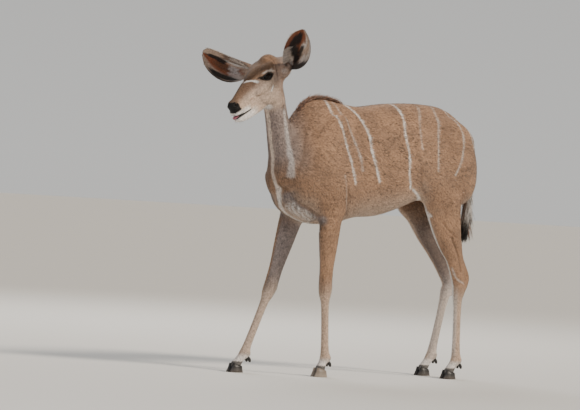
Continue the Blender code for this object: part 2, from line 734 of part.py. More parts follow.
def add_hindleg(flesh, leg):
    """A hind leg down to the top of the hoof, with the heel bone, its tendon and the web before it."""
    y, (stifle, hock, fetlock, hoof) = STANCE[leg]
    flesh.limb(limb_knots(leg, HINDLEG_GIRTH), LEG_BLEND)
    (x, z), aim, radii = GASKIN[leg]
    flesh.mass((x, y, z), radii, plane_axes(*aim), GASKIN_BLEND)
    point = (hock[0] + HOCK_POINT[0], hock[1] + HOCK_POINT[1])
    calf = ((stifle[0] + hock[0]) / 2 + CALF_BACK, (stifle[1] + hock[1]) / 2)
    middle = ((point[0] + calf[0]) / 2 - TENDON_SAG, (point[1] + calf[1]) / 2)
    under = (point[0] + HEEL_UNDER[0], point[1] + HEEL_UNDER[1])
    heel = (hock[0] + HEEL_END[0], hock[1] + HEEL_END[1])
    places = (calf, middle, point, under, heel)
    flesh.limb([(x, y, z, *girth) for (x, z), girth in zip(places, TENDON_GIRTH)], TENDON_BLEND)
    (back, up), radii, blend = TENDON_WEB
    web = ((middle[0] + hock[0]) / 2 + back, y, (middle[1] + hock[1]) / 2 + up)
    flesh.mass(web, radii, plane_axes(stifle[0] - hock[0], stifle[1] - hock[1]), blend)


def add_legs(flesh):
    """Four legs, each with the swelling behind its fetlock."""
    for leg, (y, joints) in STANCE.items():
        if leg.startswith("fore"):
            add_foreleg(flesh, leg)
        else:
            add_hindleg(flesh, leg)
        (back, up), radii, blend = FETLOCK_PAD
        flesh.mass((joints[2][0] + back, y, joints[2][1] + up), radii, plane_axes(0, 1), blend)


def add_head(flesh):
    """Skull, jaws, brows, cheeks, muzzle and the roots of the ears."""
    along, left, up = head_axes()
    flesh.sections(POLL, np.array((along, left, up)), SKULL, MUZZLE_END, SKULL_BLEND)
    down_jaw = (along + up * JAW_SLOPE).normalized()
    jaw_axes = (down_jaw, left, down_jaw.cross(left))
    for side in (-1, 1):
        for place, radii, blend in (BROW, CHEEKBONE, CHEEK, NOSTRIL_WING, UPPER_LIP):
            flesh.mass(mirrored(place, side), radii, (along, left, up), blend)
        flesh.mass(mirrored(JAW_BONE[0], side), JAW_BONE[1], jaw_axes, JAW_BONE[2])
    flesh.mass(head_point(*CHIN[0]), CHIN[1], jaw_axes, CHIN[2])
    for place, aim, cup, bow, length in EARS.values():
        flesh.mass(head_point(*place), EAR_ROOT, free_axes(aim), EAR_ROOT_BLEND)


def leg_blades(leg):
    """Blades that part a leg from the trunk, its lower from its upper length, and its hoof."""
    y, joints = STANCE[leg]
    side = math.copysign(1, y)
    (back, out, above), (lean, tilt, rise), length, width = TOP_CUT[leg[:4]]
    centre = (joints[0][0] + back, side * out, joints[0][1] + above)
    top = blade(centre, (lean, -side * tilt, rise), length, width)
    line = (joints[0][0] - joints[2][0], 0, joints[0][1] - joints[2][1])
    middle = blade((joints[1][0], y, joints[1][1] - CUT_BELOW_KNEE), line, *KNEE_BLADE)
    hoof = blade((joints[3][0], y, joints[3][1]), (-HOOF_TOP_SLOPE, 0, 1), *HOOF_BLADE)
    return [top, middle, hoof]


def make_body():
    """Trunk, neck and legs in one skin, thinned and parted with blades."""
    flesh = Flesh(*BODY_BOX, BODY_GRID)
    add_trunk(flesh)
    add_neck(flesh)
    add_legs(flesh)
    add_head(flesh)
    body = mesh_object("body", *flesh.skin())
    thin_out(body, BODY_FACES)
    blades = [blade(*HEAD_CUT), blade(*NECK_CUT)]
    places = {"torso": TORSO_PLACE, "neck": NECK_PLACE}
    for leg, (y, joints) in STANCE.items():
        blades += leg_blades(leg)
        for part, first in (("_upper", 0), ("_lower", 1)):
            (x0, z0), (x1, z1) = joints[first], joints[first + 1]
            places[leg + part] = ((x0 + x1) / 2, y, (z0 + z1) / 2)
    combine(body, "DIFFERENCE", blades)
    return split(body, places)


def add_dewclaws(node, leg):
    """Two small claws behind the fetlock."""
    y, joints = STANCE[leg]
    x, z = joints[2]
    back, beside, below = DEWCLAW_PLACE
    lean = turned(DEWCLAW_LEAN)
    claws = [ball("dewclaw", (x + back, y + side * beside, z + below), DEWCLAW, lean, segments=8, rings=6)
             for side in (-1, 1)]
    combine(node, "UNION", claws)
    keep_largest(node)


def make_hoof(leg):
    """A cloven hoof: a loft from the flat sole to the slanting top, split from the front."""
    y, joints = STANCE[leg]
    x, z = joints[3]
    sole_middle = x + (SOLE_REAR - SOLE_FRONT) / 2
    sole_half = (SOLE_REAR + SOLE_FRONT) / 2
    turns = [math.tau * j / HOOF_SIDES for j in range(HOOF_SIDES)]
    rings = []
    for height, share in SOLE_EDGE:
        ring = []
        for turn in turns:
            pinch = 1 - TOE_PINCH * max(-math.cos(turn), 0) ** 2
            ring.append((sole_middle + sole_half * share * math.cos(turn),
                         y + HOOF_HALF_WIDTH * share * math.sin(turn) * pinch, height))
        rings.append(ring)
    rings.append([(x + HOOF_TOP_HALF * math.cos(turn), y + HOOF_TOP_HALF * math.sin(turn) * HOOF_TOP_NARROW,
                   z + HOOF_TOP_SLOPE * HOOF_TOP_HALF * math.cos(turn) - GAP / 2) for turn in turns])
    hoof = loft(leg + "_hoof", rings)
    front = x - SOLE_FRONT - CLEFT_MARGIN
    back = x - SOLE_FRONT + CLEFT_LENGTH
    wide, narrow = (CLEFT_WIDTH / 2 * taper for taper in CLEFT_TAPER)
    wedge = loft("cleft", [[(front, y - wide, level), (back, y - narrow, level),
                            (back, y + narrow, level), (front, y + wide, level)]
                           for level in (-CLEFT_MARGIN, CLEFT_TOP)])
    combine(hoof, "DIFFERENCE", [wedge])
    keep_largest(hoof)
    return hoof


def eye_centre(side):
    """Centre of an eyeball, 1 for the left eye and -1 for the right."""
    return mirrored(EYE_PLACE, side)


def eye_axes(side):
    """Directions of an eye: forward along its slit, up across it and outwards."""
    along, left, up = head_axes()
    forward = along * math.cos(EYE_TILT) + up * math.sin(EYE_TILT)
    upward = up * math.cos(EYE_TILT) - along * math.sin(EYE_TILT)
    return forward, upward, left * side


def make_lids(side):
    """Upper and lower lid: tapered rolls that follow an almond round the eyeball."""
    forward, upward, outward = eye_axes(side)
    centre = eye_centre(side)
    lids = []
    for height, thick in ((LID_TOP, UPPER_LID_THICK), (LID_BOTTOM, LID_THICK)):
        points = []
        widths = []
        for t in LID_PLACES:
            a = LID_FRONT + (LID_REAR - LID_FRONT) * t
            b = height * math.sin(math.pi * t) ** LID_ROUNDNESS
            out = math.sqrt(max((EYE_RADIUS + LID_OFF_EYE) ** 2 - a * a - b * b, SKIN_OVER_EYE ** 2))
            points.append(centre + forward * a + upward * b + outward * (out - LID_SINK))
            widths.append(thick * (LID_TAPER + (1 - LID_TAPER) * math.sin(math.pi * t)))
        lids.append(tube("lid", points, widths, widths, outward, 6))
    return lids


def ear_sheet(root, aim, cup, bow, length, mirror):
    """The cup of an ear: a curled sheet with a wall, closed round its rim."""
    aim = aim.normalized()
    cup = (cup - aim * cup.dot(aim)).normalized()
    across = aim.cross(cup) * mirror
    count = EAR_COLUMNS + 1
    outer, inner = [], []
    for u, radius, angle in EAR_CURL:
        swell = math.sin(math.pi * u)
        middle = root + aim * length * u + cup * (radius - EAR_STALK - EAR_HOLLOW * swell) + bow * swell
        wall = EAR_WALL * (EAR_WALL_TAPER[0] - EAR_WALL_TAPER[1] * u)
        for j in range(count):
            turn = math.radians(angle) * (2 * j / EAR_COLUMNS - 1)
            out = across * math.sin(turn) - cup * math.cos(turn)
            outer.append(middle + out * radius)
            inner.append(middle + out * max(radius - wall, radius * THINNEST_EAR))
    shift = len(outer)
    rows = len(EAR_CURL)
    faces = []
    for i in range(rows - 1):
        for j in range(EAR_COLUMNS):
            a, b = i * count + j, i * count + j + 1
            c, d = b + count, a + count
            faces += [(a, b, c), (a, c, d)]
            faces += [(shift + a, shift + c, shift + b), (shift + a, shift + d, shift + c)]
        for j in (0, EAR_COLUMNS):
            a, b = i * count + j, (i + 1) * count + j
            faces.append((a, b, shift + b, shift + a))
    for i in (0, rows - 1):
        for j in range(EAR_COLUMNS):
            a, b = i * count + j, i * count + j + 1
            faces.append((a, b, shift + b, shift + a))
    return mesh_object("ear", outer + inner, faces)


def mouth_floor(along):
    """Height of the lower edge of the open mouth."""
    return float(np.interp(along, [row[0] for row in MOUTH], [row[1] for row in MOUTH]))


def make_mouth_cut():
    """The slit between the lips, which opens towards the front."""
    outline = [(row[0], row[1]) for row in MOUTH] + [(row[0], row[2]) for row in reversed(MOUTH)]
    sides = (-MOUTH_CUT_HALF, MOUTH_CUT_HALF)
    return loft("mouth", [[head_point(along, side, up) for along, up in outline] for side in sides])


def make_tongue():
    """Tip of the tongue, lying on the floor of the mouth."""
    rings = []
    for along, half, thick in TONGUE:
        floor = mouth_floor(along) + GAP
        rings.append([head_point(along, side * half, floor + up * thick) for side, up in TONGUE_RING])
    return loft("tongue", rings)


def make_head():
    """Head with lids, nostrils, mouth and ear roots, and the two ears."""
    flesh = Flesh(*HEAD_BOX, HEAD_GRID)
    add_neck(flesh)
    add_head(flesh)
    head = mesh_object("head", *flesh.skin())
    thin_out(head, HEAD_FACES)
    added = make_lids(1) + make_lids(-1)
    cuts = [blade(*HEAD_CUT), make_mouth_cut()]
    places = {"head": head_point(*FACE_PLACE)}
    for name, (place, aim, cup, bow, length) in EARS.items():
        root = head_point(*place)
        added.append(ear_sheet(root, aim, cup, bow, length, 1 if name == "left" else -1))
        cuts.append(blade(root + aim.normalized() * EAR_CUT, aim, EAR_BLADE, EAR_BLADE))
        places["ear_" + name] = root + aim.normalized() * length
    turn = Matrix(head_axes()).transposed()
    for side in (1, -1):
        cuts.append(ball("socket", eye_centre(side), [EYE_RADIUS + GAP] * 3, turn))
        cuts.append(ball("nostril", mirrored(NOSTRIL[0], side), NOSTRIL[1], turn, segments=10, rings=6))
    combine(head, "UNION", added)
    combine(head, "DIFFERENCE", cuts)
    return split(head, places)


def make_eye(name, side):
    """An eyeball, a little smaller than its socket."""
    turn = Matrix(head_axes()).transposed()
    return ball(name, eye_centre(side), [EYE_RADIUS] * 3, turn)


def lock(root, aim, up, size, bend):
    """A flat lock of hair that tapers and bends; its root starts inside the body."""
    length, width, thick = size
    aim = Vector(aim).normalized()
    up = Vector(up).normalized()
    points = [Vector(root) + (aim * t + up * bend * max(t, 0) ** 2) * length for t, share in LOCK_SPREAD]
    widths = [width / 2 * share for t, share in LOCK_SPREAD]
    heights = [max(thick / 2 * share, THINNEST_LOCK) for t, share in LOCK_SPREAD]
    return tube("lock", points, widths, heights, up, LOCK_SIDES)


def grow(node, locks):
    """Fuses locks to the node that they grow from."""
    combine(node, "UNION", locks)
    keep_largest(node)


def surface_of(node):
    """A tree of a node's faces, for finding the roots of locks on it."""
    return BVHTree.FromPolygons([v.co for v in node.data.vertices], [p.vertices for p in node.data.polygons])


def grow_withers(torso):
    """Short mane on the withers: locks in three rows that lie back over one another."""
    draw = random.Random(LOCK_SEED)
    tree = surface_of(torso)
    length, width, thick = WITHERS_LOCK
    locks = []
    for row, y in enumerate(WITHERS_ROWS):
        for i in range(WITHERS_ROOTS):
            x = WITHERS_START + WITHERS_STEP * i + WITHERS_ROW_SHIFT * row
            root = tree.ray_cast(Vector((x, y, RAY_START)), Vector((0, 0, -1)))[0]
            size = (length * draw.uniform(*SIZE_SPREAD), width * draw.uniform(*SIZE_SPREAD), thick)
            rise = WITHERS_RISE + RISE_PER_ROW * row + RISE_PER_ROOT * i
            rise += draw.uniform(-RISE_STRAY, RISE_STRAY)
            aside = y * WITHERS_SPLAY + draw.uniform(-WITHERS_STRAY, WITHERS_STRAY)
            up = (-0.45, y * LOCK_ROLL, 0.9)
            locks.append(lock(root, (WITHERS_SWEEP, aside, rise), up, size, draw.uniform(*WITHERS_BEND)))
    grow(torso, locks)


def grow_nape(neck):
    """Short hair down the nape, in three rows."""
    draw = random.Random(LOCK_SEED + 1)
    tree = surface_of(neck)
    length, width, thick = NAPE_LOCK
    back, down = NAPE_AIM
    locks = []
    for y in NAPE_ROWS:
        for i in range(NAPE_ROOTS):
            root = tree.ray_cast(Vector((NAPE_RAY, y, NAPE_TOP - NAPE_STEP * i)), Vector((-1, 0, 0)))[0]
            size = (length * draw.uniform(*SIZE_SPREAD) * (1 - NAPE_SHRINK * i), width, thick)
            aim = (back + draw.uniform(-NAPE_STRAY, NAPE_STRAY), y * NAPE_SPLAY, down)
            locks.append(lock(root, aim, (0.6, y * LOCK_ROLL, 0.7), size, NAPE_BEND))
    grow(neck, locks)


def make_tail(torso):
    """Tail with long locks at its sides and a tuft; its root is cut from the torso."""
    rows = smooth_rows(TAIL, TAIL_STEPS)
    core = tube("tail", [(row[0], 0.0, row[1]) for row in rows], rows[:, 3], rows[:, 2], TAIL_UP, TAIL_SIDES)
    combine(torso, "UNION", [core])
    combine(torso, "DIFFERENCE", [blade(*TAIL_CUT)])
    nodes = split(torso, {"torso": TORSO_PLACE, "tail": (TAIL[-1][0], 0.0, TAIL[-1][1])})
    draw = random.Random(LOCK_SEED + 2)
    length, width, thick = TAIL_LOCK
    fine = smooth_rows(TAIL, FRINGE_STEPS)
    locks = []
    for i in range(FRINGE_ROOTS):
        x, z, depth, half = fine[FRINGE_STEPS * FRINGE_KNOT + FRINGE_STEPS // 2 * i]
        for side in (-1, 1):
            back = FRINGE_BACK + draw.uniform(-FRINGE_STRAY, FRINGE_STRAY)
            aim = (back, side * (FRINGE_SPREAD[0] + FRINGE_SPREAD[1] * i), -1)
            size = (length * draw.uniform(*FRINGE_SIZE), width, thick)
            locks.append(lock((x, side * half * FRINGE_OUT, z), aim, (1, 0, 0.05), size, FRINGE_BEND))
    middle = (TUFT_LOCKS - 1) / 2
    for i in range(TUFT_LOCKS):
        spread = (i - middle) / middle
        root = (TUFT_ROOT[0] + TUFT_STAGGER[0] * (i % 2), TUFT_ROOT[1] * spread,
                TUFT_ROOT[2] + TUFT_STAGGER[1] * (i % 3))
        share = (TUFT_LENGTH[0] + TUFT_LENGTH[1] * abs(spread)) * draw.uniform(*TUFT_SIZE)
        aim = (TUFT_AIM[0] + TUFT_AIM[1] * (i % 3), TUFT_AIM[2] * spread, -1)
        locks.append(lock(root, aim, (1, 0, 0.2), (length * share, width, thick), TUFT_BEND))
    grow(nodes["tail"], locks)
    return nodes


def finish(node, look):
    """Gives a node its material and smooth shading with sharp cut edges."""
    colour, roughness = FINISHES[look]
    material = bpy.data.materials.new(node.name)
    material.use_nodes = True
    shader = material.node_tree.nodes["Principled BSDF"]
    shader.inputs["Base Color"].default_value = (*colour, 1.0)
    shader.inputs["Roughness"].default_value = roughness
    shader.inputs["Metallic"].default_value = 0.0
    node.data.materials.clear()
    node.data.materials.append(material)
    node.data.shade_smooth()
    node.data.set_sharp_from_angle(angle=SHARP_EDGE)


def centre_model(nodes):
    """Hangs every node on an empty that brings the middle of the model's foot box to the origin."""
    corners = [vertex.co for node in nodes for vertex in node.data.vertices]
    low = [min(corner[k] for corner in corners) for k in range(3)]
    high = [max(corner[k] for corner in corners) for k in range(3)]
    stand = link("kudu", None)
    stand.location = (-(low[0] + high[0]) / 2, -(low[1] + high[1]) / 2, -low[2])
    for node in nodes:
        node.parent = stand
    bpy.context.view_layer.update()


def main():
    for old in list(bpy.data.objects):
        bpy.data.objects.remove(old, do_unlink=True)
    nodes = make_body()
    nodes.update(make_tail(nodes["torso"]))
    nodes.update(make_head())
    looks = {"torso": "fawn coat", "neck": "grey neck", "head": "fawn coat", "tail": "tail hair",
             "ear_left": "ear skin", "ear_right": "ear skin"}
    for leg in STANCE:
        add_dewclaws(nodes[leg + "_lower"], leg)
        nodes[leg + "_hoof"] = make_hoof(leg)
        looks.update({leg + "_upper": "leg coat", leg + "_lower": "leg coat", leg + "_hoof": "hoof"})
    for name, side in (("eye_left", 1), ("eye_right", -1)):
        nodes[name] = make_eye(name, side)
        looks[name] = "eye"
    nodes["tongue"] = make_tongue()
    looks["tongue"] = "tongue"
    grow_withers(nodes["torso"])
    grow_nape(nodes["neck"])
    for name, node in nodes.items():
        finish(node, looks[name])
    centre_model(list(nodes.values()))


main()
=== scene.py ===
"""Greater kudu cow: the hide, coat, horn and eyes of the life-size display model.

The hide is one skin, shaped from the same sections, limbs and masses as the solids, only finer and
the coat's depth inside them. Short hair, mane, tail and lashes are solid tapered hairs on it. While it
is made, x = 0 is at the left forehoof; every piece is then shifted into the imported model's frame.
"""

import math

import bmesh
import bpy
import numpy as np
from mathutils import Matrix, Vector
from mathutils.kdtree import KDTree


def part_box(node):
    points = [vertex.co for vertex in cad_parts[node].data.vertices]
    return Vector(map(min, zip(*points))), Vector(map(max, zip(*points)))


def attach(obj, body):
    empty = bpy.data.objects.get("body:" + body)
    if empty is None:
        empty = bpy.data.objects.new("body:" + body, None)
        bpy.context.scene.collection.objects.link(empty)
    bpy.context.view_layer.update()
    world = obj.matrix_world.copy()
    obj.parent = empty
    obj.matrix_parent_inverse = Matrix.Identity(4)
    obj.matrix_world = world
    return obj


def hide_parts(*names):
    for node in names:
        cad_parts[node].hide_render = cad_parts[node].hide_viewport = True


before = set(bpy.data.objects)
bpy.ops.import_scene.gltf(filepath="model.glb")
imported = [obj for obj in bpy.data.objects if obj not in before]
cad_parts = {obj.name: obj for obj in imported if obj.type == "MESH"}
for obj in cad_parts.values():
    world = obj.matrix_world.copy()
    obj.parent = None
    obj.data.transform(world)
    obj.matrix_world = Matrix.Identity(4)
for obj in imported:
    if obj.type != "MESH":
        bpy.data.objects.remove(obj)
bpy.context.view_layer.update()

# The animal's build, in metres

# Trunk: x, underside, back, height of the widest point, half width, roundness above and below
TRUNK = (
    (-0.235, 0.800, 0.980, 0.90, 0.055, 2.0, 2.0),
    (-0.190, 0.735, 1.096, 0.90, 0.102, 1.9, 2.1),
    (-0.110, 0.697, 1.217, 0.92, 0.138, 1.7, 2.2),
    (-0.020, 0.679, 1.250, 0.92, 0.150, 1.6, 2.2),
    (0.100, 0.690, 1.236, 0.92, 0.164, 1.7, 2.2),
    (0.200, 0.716, 1.226, 0.94, 0.184, 1.9, 2.2),
    (0.320, 0.728, 1.243, 0.95, 0.197, 2.0, 2.2),
    (0.440, 0.765, 1.254, 0.97, 0.193, 2.0, 2.2),
    (0.560, 0.810, 1.257, 1.00, 0.172, 1.9, 2.2),
    (0.680, 0.840, 1.247, 1.02, 0.158, 1.8, 2.2),
    (0.770, 0.860, 1.208, 1.00, 0.138, 1.8, 2.1),
    (0.830, 0.890, 1.160, 0.99, 0.100, 1.8, 2.0),
    (0.848, 0.930, 1.118, 1.00, 0.060, 2.0, 2.0),
)
TRUNK_END = 0.020
# Muscles of each side: x, y, z, direction of the long radius in x and z, three radii
MUSCLES = (
    (-0.045, 0.098, 0.985, (0.47, 0.88), (0.215, 0.088, 0.046)),
    (-0.130, 0.096, 0.860, (0.75, -0.66), (0.095, 0.060, 0.048)),
    (0.035, 0.108, 0.855, (0.12, 1.0), (0.150, 0.058, 0.046)),
    (0.725, 0.090, 0.985, (-0.35, 1.0), (0.190, 0.118, 0.074)),
    (0.610, 0.112, 0.875, (-0.55, 1.0), (0.150, 0.095, 0.056)),
    (0.690, 0.105, 1.120, (1.0, -0.30), (0.120, 0.060, 0.050)),
)
MUSCLE_BLEND = 0.05
# Neck: x, z, half depth, half width
NECK = (
    (-0.312, 1.385, 0.046, 0.046),
    (-0.292, 1.300, 0.054, 0.050),
    (-0.264, 1.210, 0.054, 0.052),
    (-0.243, 1.135, 0.055, 0.057),
    (-0.217, 1.055, 0.064, 0.066),
    (-0.185, 0.985, 0.076, 0.082),
    (-0.135, 0.910, 0.092, 0.104),
)
NECK_BLEND = 0.045
# Legs: y, and x and z of elbow or stifle, knee or hock, fetlock and top of the hoof
STANCE = {
    "foreleg_left": (-0.1085, ((0.006, 0.715), (0.0, 0.405), (0.021, 0.088), (-0.002, 0.034))),
    "foreleg_right": (0.1035, ((-0.050, 0.715), (-0.147, 0.390), (-0.272, 0.088), (-0.316, 0.034))),
    "hindleg_left": (-0.108, ((0.662, 0.800), (0.774, 0.448), (0.787, 0.090), (0.750, 0.034))),
    "hindleg_right": (0.094, ((0.672, 0.800), (0.882, 0.440), (0.806, 0.098), (0.762, 0.034))),
}
# Girth of the legs: place in bones from the elbow or stifle down, half depth, half width
FORELEG_GIRTH = (
    (-0.45, 0.078, 0.048), (0.00, 0.062, 0.044), (0.35, 0.050, 0.037), (0.70, 0.036, 0.030),
    (0.92, 0.034, 0.029), (1.08, 0.032, 0.028), (1.25, 0.0215, 0.019), (1.60, 0.0205, 0.016),
    (1.86, 0.0215, 0.017), (2.00, 0.0250, 0.0215), (2.50, 0.0210, 0.020), (3.00, 0.0250, 0.024),
)
HINDLEG_GIRTH = (
    (0.00, 0.094, 0.054), (0.25, 0.076, 0.046), (0.50, 0.058, 0.038), (0.75, 0.040, 0.028),
    (1.00, 0.034, 0.027), (1.14, 0.029, 0.024), (1.35, 0.0225, 0.0175), (1.65, 0.0215, 0.0165),
    (1.88, 0.0230, 0.018), (2.00, 0.0265, 0.0215), (2.50, 0.0215, 0.020), (3.00, 0.0250, 0.024),
)
LEG_BLEND = 0.045
# Front of the gaskin: its middle as x and z, the direction of its long radius, three radii
GASKIN = {
    "hindleg_left": ((0.643, 0.690), (0.47, -0.88), (0.150, 0.036, 0.032)),
    "hindleg_right": ((0.700, 0.700), (0.50, -0.87), (0.120, 0.036, 0.030)),
}
GASKIN_BLEND = 0.035
# Heel bone, behind and over the hock's joint
HOCK_POINT = (0.050, 0.030)
TENDON_BLEND = 0.018
DEWCLAW_RADII = (0.0075, 0.0070, 0.0140)
DEWCLAW_SPREAD = 0.0118

# Tail: x, z, half depth, half width
TAIL = (
    (0.828, 1.130, 0.026, 0.030), (0.862, 1.126, 0.023, 0.027), (0.889, 1.102, 0.018, 0.023),
    (0.902, 1.050, 0.013, 0.020), (0.905, 0.975, 0.011, 0.018), (0.900, 0.900, 0.010, 0.017),
    (0.893, 0.830, 0.009, 0.015), (0.887, 0.715, 0.006, 0.010),
)

# Head: places are along its axis from the poll, to its side and up from the axis
POLL = np.array((-0.276, 0.0, 1.4185))
HEAD_PITCH = math.radians(43)
HEAD_TURN = math.radians(5)
# Skull's sections along that axis, in the order of the trunk's
SKULL = (
    (-0.030, -0.075, -0.020, -0.050, 0.036, 2.0, 2.0),
    (0.000, -0.100, 0.000, -0.045, 0.054, 2.3, 2.0),
    (0.040, -0.110, 0.020, -0.030, 0.063, 2.5, 2.0),
    (0.080, -0.115, 0.034, -0.015, 0.065, 2.5, 2.0),
    (0.120, -0.120, 0.040, -0.010, 0.058, 2.4, 2.0),
    (0.160, -0.126, 0.040, -0.020, 0.050, 2.3, 2.0),
    (0.200, -0.126, 0.034, -0.030, 0.042, 2.1, 2.0),
    (0.240, -0.118, 0.028, -0.035, 0.037, 2.1, 2.0),
    (0.275, -0.109, 0.021, -0.042, 0.033, 2.1, 2.1),
    (0.303, -0.102, 0.015, -0.043, 0.031, 2.2, 2.2),
    (0.326, -0.095, 0.008, -0.043, 0.028, 2.2, 2.2),
    (0.340, -0.086, 0.000, -0.042, 0.022, 2.2, 2.2),
)
MUZZLE_END = 0.012
# Masses of each side of the head: place, radii along, sideways and up, blend
HEAD_MASSES = (
    ((0.105, 0.045, 0.015), (0.050, 0.018, 0.016), 0.020),
    ((0.145, 0.046, -0.036), (0.070, 0.018, 0.020), 0.025),
    ((0.140, 0.036, -0.088), (0.060, 0.022, 0.045), 0.030),
    ((0.322, 0.017, -0.010), (0.024, 0.016, 0.018), 0.010),
    ((0.308, 0.018, -0.044), (0.042, 0.015, 0.015), 0.013),
)
JAW_BONE = ((0.240, 0.018, -0.103), (0.105, 0.014, 0.018), 0.018)
CHIN = ((0.330, 0.0, -0.079), (0.031, 0.021, 0.016), 0.013)
JAW_SLOPE = 0.20

EYE_PLACE = (0.126, 0.0455, -0.006)
EYE_RADIUS = 0.0235
EYE_TILT = math.radians(20)
LID_FRONT, LID_REAR, LID_TOP, LID_BOTTOM = 0.029, -0.024, 0.0155, -0.0145
LID_THICK = 0.0026
SKIN_OVER_EYE = 0.0125

NOSTRIL = ((0.3305, 0.0255, -0.0025), (0.0112, 0.0092, 0.0060))
NOSTRIL_SLIT = ((0.3230, 0.0290, 0.0030), (0.0100, 0.0070, 0.0026))
# Line of the mouth: place along, lower edge, upper edge
MOUTH = ((0.278, -0.0745, -0.0735), (0.310, -0.0680, -0.0650), (0.335, -0.0645, -0.0550),
         (0.352, -0.0640, -0.0500), (0.400, -0.0640, -0.0400))
# Tip of the tongue: place along, half width, thickness
TONGUE = ((0.305, 0.0060, 0.0012), (0.318, 0.0085, 0.0024), (0.329, 0.0120, 0.0050),
          (0.340, 0.0140, 0.0080), (0.352, 0.0130, 0.0086), (0.359, 0.0090, 0.0064),
          (0.3615, 0.0030, 0.0024))

# Ears: root place, aim, side that the cup opens to, bow, length
EARS = {
    "left": ((0.026, 0.064, -0.050), (-0.066, -0.183, 0.155), (-0.62, -0.74, -0.06),
             (0.009, -0.007, -0.012), 0.259),
    "right": ((0.044, -0.078, -0.040), (-0.185, 0.181, 0.054), (-0.55, -0.72, -0.30),
              (0.002, -0.002, -0.033), 0.279),
}
EAR_ROOT = (0.042, 0.025, 0.025)
# Curl of the ears: place along, radius, half angle in degrees
EAR_CURL = ((0.02, 0.018, 165), (0.16, 0.027, 148), (0.32, 0.045, 118), (0.50, 0.057, 98),
            (0.68, 0.060, 88), (0.84, 0.054, 78), (0.94, 0.040, 70), (1.00, 0.018, 58))
EAR_WALL = 0.0022
EAR_INSET = 0.0008
# Points of an ear from edge to edge
EAR_COLUMNS = 37

# Marks inside the ears: mark, strength, half width, then place round the curl and along the ear
EAR_MARKS = {
    "left": (("rust", 0.95, 0.26, ((-0.80, 0.56), (-0.66, 0.70), (-0.40, 0.80), (-0.10, 0.80))),
             ("rust", 0.95, 0.12, ((-0.02, 0.64), (0.03, 0.50), (0.04, 0.36), (0.12, 0.24))),
             ("black", 0.96, 0.23, ((-0.26, 0.72), (-0.36, 0.62), (-0.34, 0.50), (-0.22, 0.40),
                                    (-0.08, 0.29), (0.05, 0.19))),
             ("black", 0.90, 0.07, ((0.14, 0.56), (0.15, 0.43))),
             ("white", 0.55, 0.06, ((0.24, 0.84), (0.30, 0.72), (0.18, 0.62))),
             ("white", 0.40, 0.12, ((0.66, 0.90), (0.74, 0.70), (0.66, 0.50), (0.44, 0.34))),
             ("black", 0.88, 0.16, ((0.36, 0.08), (0.56, 0.20), (0.84, 0.32), (1.00, 0.40))),
             ("black", 0.88, 0.12, ((0.80, 0.06), (0.98, 0.20)))),
    "right": (("rust", 0.95, 0.27, ((0.08, 0.82), (0.18, 0.70), (0.26, 0.56))),
              ("dark", 0.70, 0.18, ((0.16, 0.66), (0.24, 0.54))),
              ("black", 0.94, 0.09, ((-0.12, 0.88), (-0.22, 0.80), (-0.18, 0.73), (-0.02, 0.70))),
              ("black", 0.94, 0.17, ((0.72, 0.70), (0.68, 0.62), (0.66, 0.54))),
              ("black", 0.85, 0.08, ((0.95, 0.78), (1.00, 0.55), (0.95, 0.42))),
              ("white", 0.40, 0.12, ((0.42, 0.44), (0.72, 0.40))),
              ("white", 0.40, 0.09, ((0.10, 0.50), (0.30, 0.44)))),
}

# Hooves: sole before and behind the top's middle, half width, half length and slope of the top
SOLE_FRONT, SOLE_REAR = 0.0415, 0.0305
HOOF_HALF_WIDTH = 0.0295
HOOF_TOP_HALF = 0.0255
HOOF_TOP_SLOPE = -0.26
# Half the cleft at the sole and at the top, and half a claw's width at the top
CLEFT_SOLE, CLEFT_TOP, CLAW_TOP = 0.0012, 0.0008, 0.0119
# Rings of a claw's wall from the sole up: height, spread, share of the way to the top
CLAW_RINGS = ((0.0, 0.97, 0.0), (0.0015, 1.0, 0.0), (0.012, 0.97, 0.30), (0.024, 0.93, 0.66),
              (1.0, 0.90, 1.0))

# Plane through the throat, where the fine grid of the head meets the body's
HEAD_CUT_POINT = np.array((-0.262, 0.0, 1.195))
HEAD_CUT_UP = np.array((-0.486, 0.0, 0.874))

# How fine the skin is made: steps of the two grids, and the farthest distance they hold
BODY_GRID = 0.0050
HEAD_GRID = 0.0023
FIELD_FAR = 0.06
# Steps between two knots: of the flesh and ears, of the tongue and lines on the skin, of the tail's hair
SHAPE_STEPS = 6
LINE_STEPS = 5
TAIL_STEPS = 10
SEED = 7

# The photograph's camera: place and directions to the right and up, before the shift
CAMERA_PLACE = np.array((-10.466, -13.506, 0.950))
CAMERA_RIGHT = Vector((0.7935, -0.6057, 0.0593))
CAMERA_UP = Vector((-0.0404, 0.0448, 0.9982))
CAMERA_LENS = 235.3
# Lights: name, kind, place, power, colour
LIGHTS = (
    ("key", "SUN", (3.2, -6.0, 6.2), 3.5, "#fff3e2"),
    ("fill", "AREA", (-6.0, -4.5, 2.8), 100, "#e6eeff"),
    ("back", "AREA", (2.0, 5.0, 5.0), 240, "#ffffff"),
)
LIGHT_AIM = Vector((0, 0, 0.8))
SUN_ANGLE = math.radians(14)
LAMP_SIZE = 4.0
FLOOR_RADIUS = 60
FLOOR_CORNERS = 64

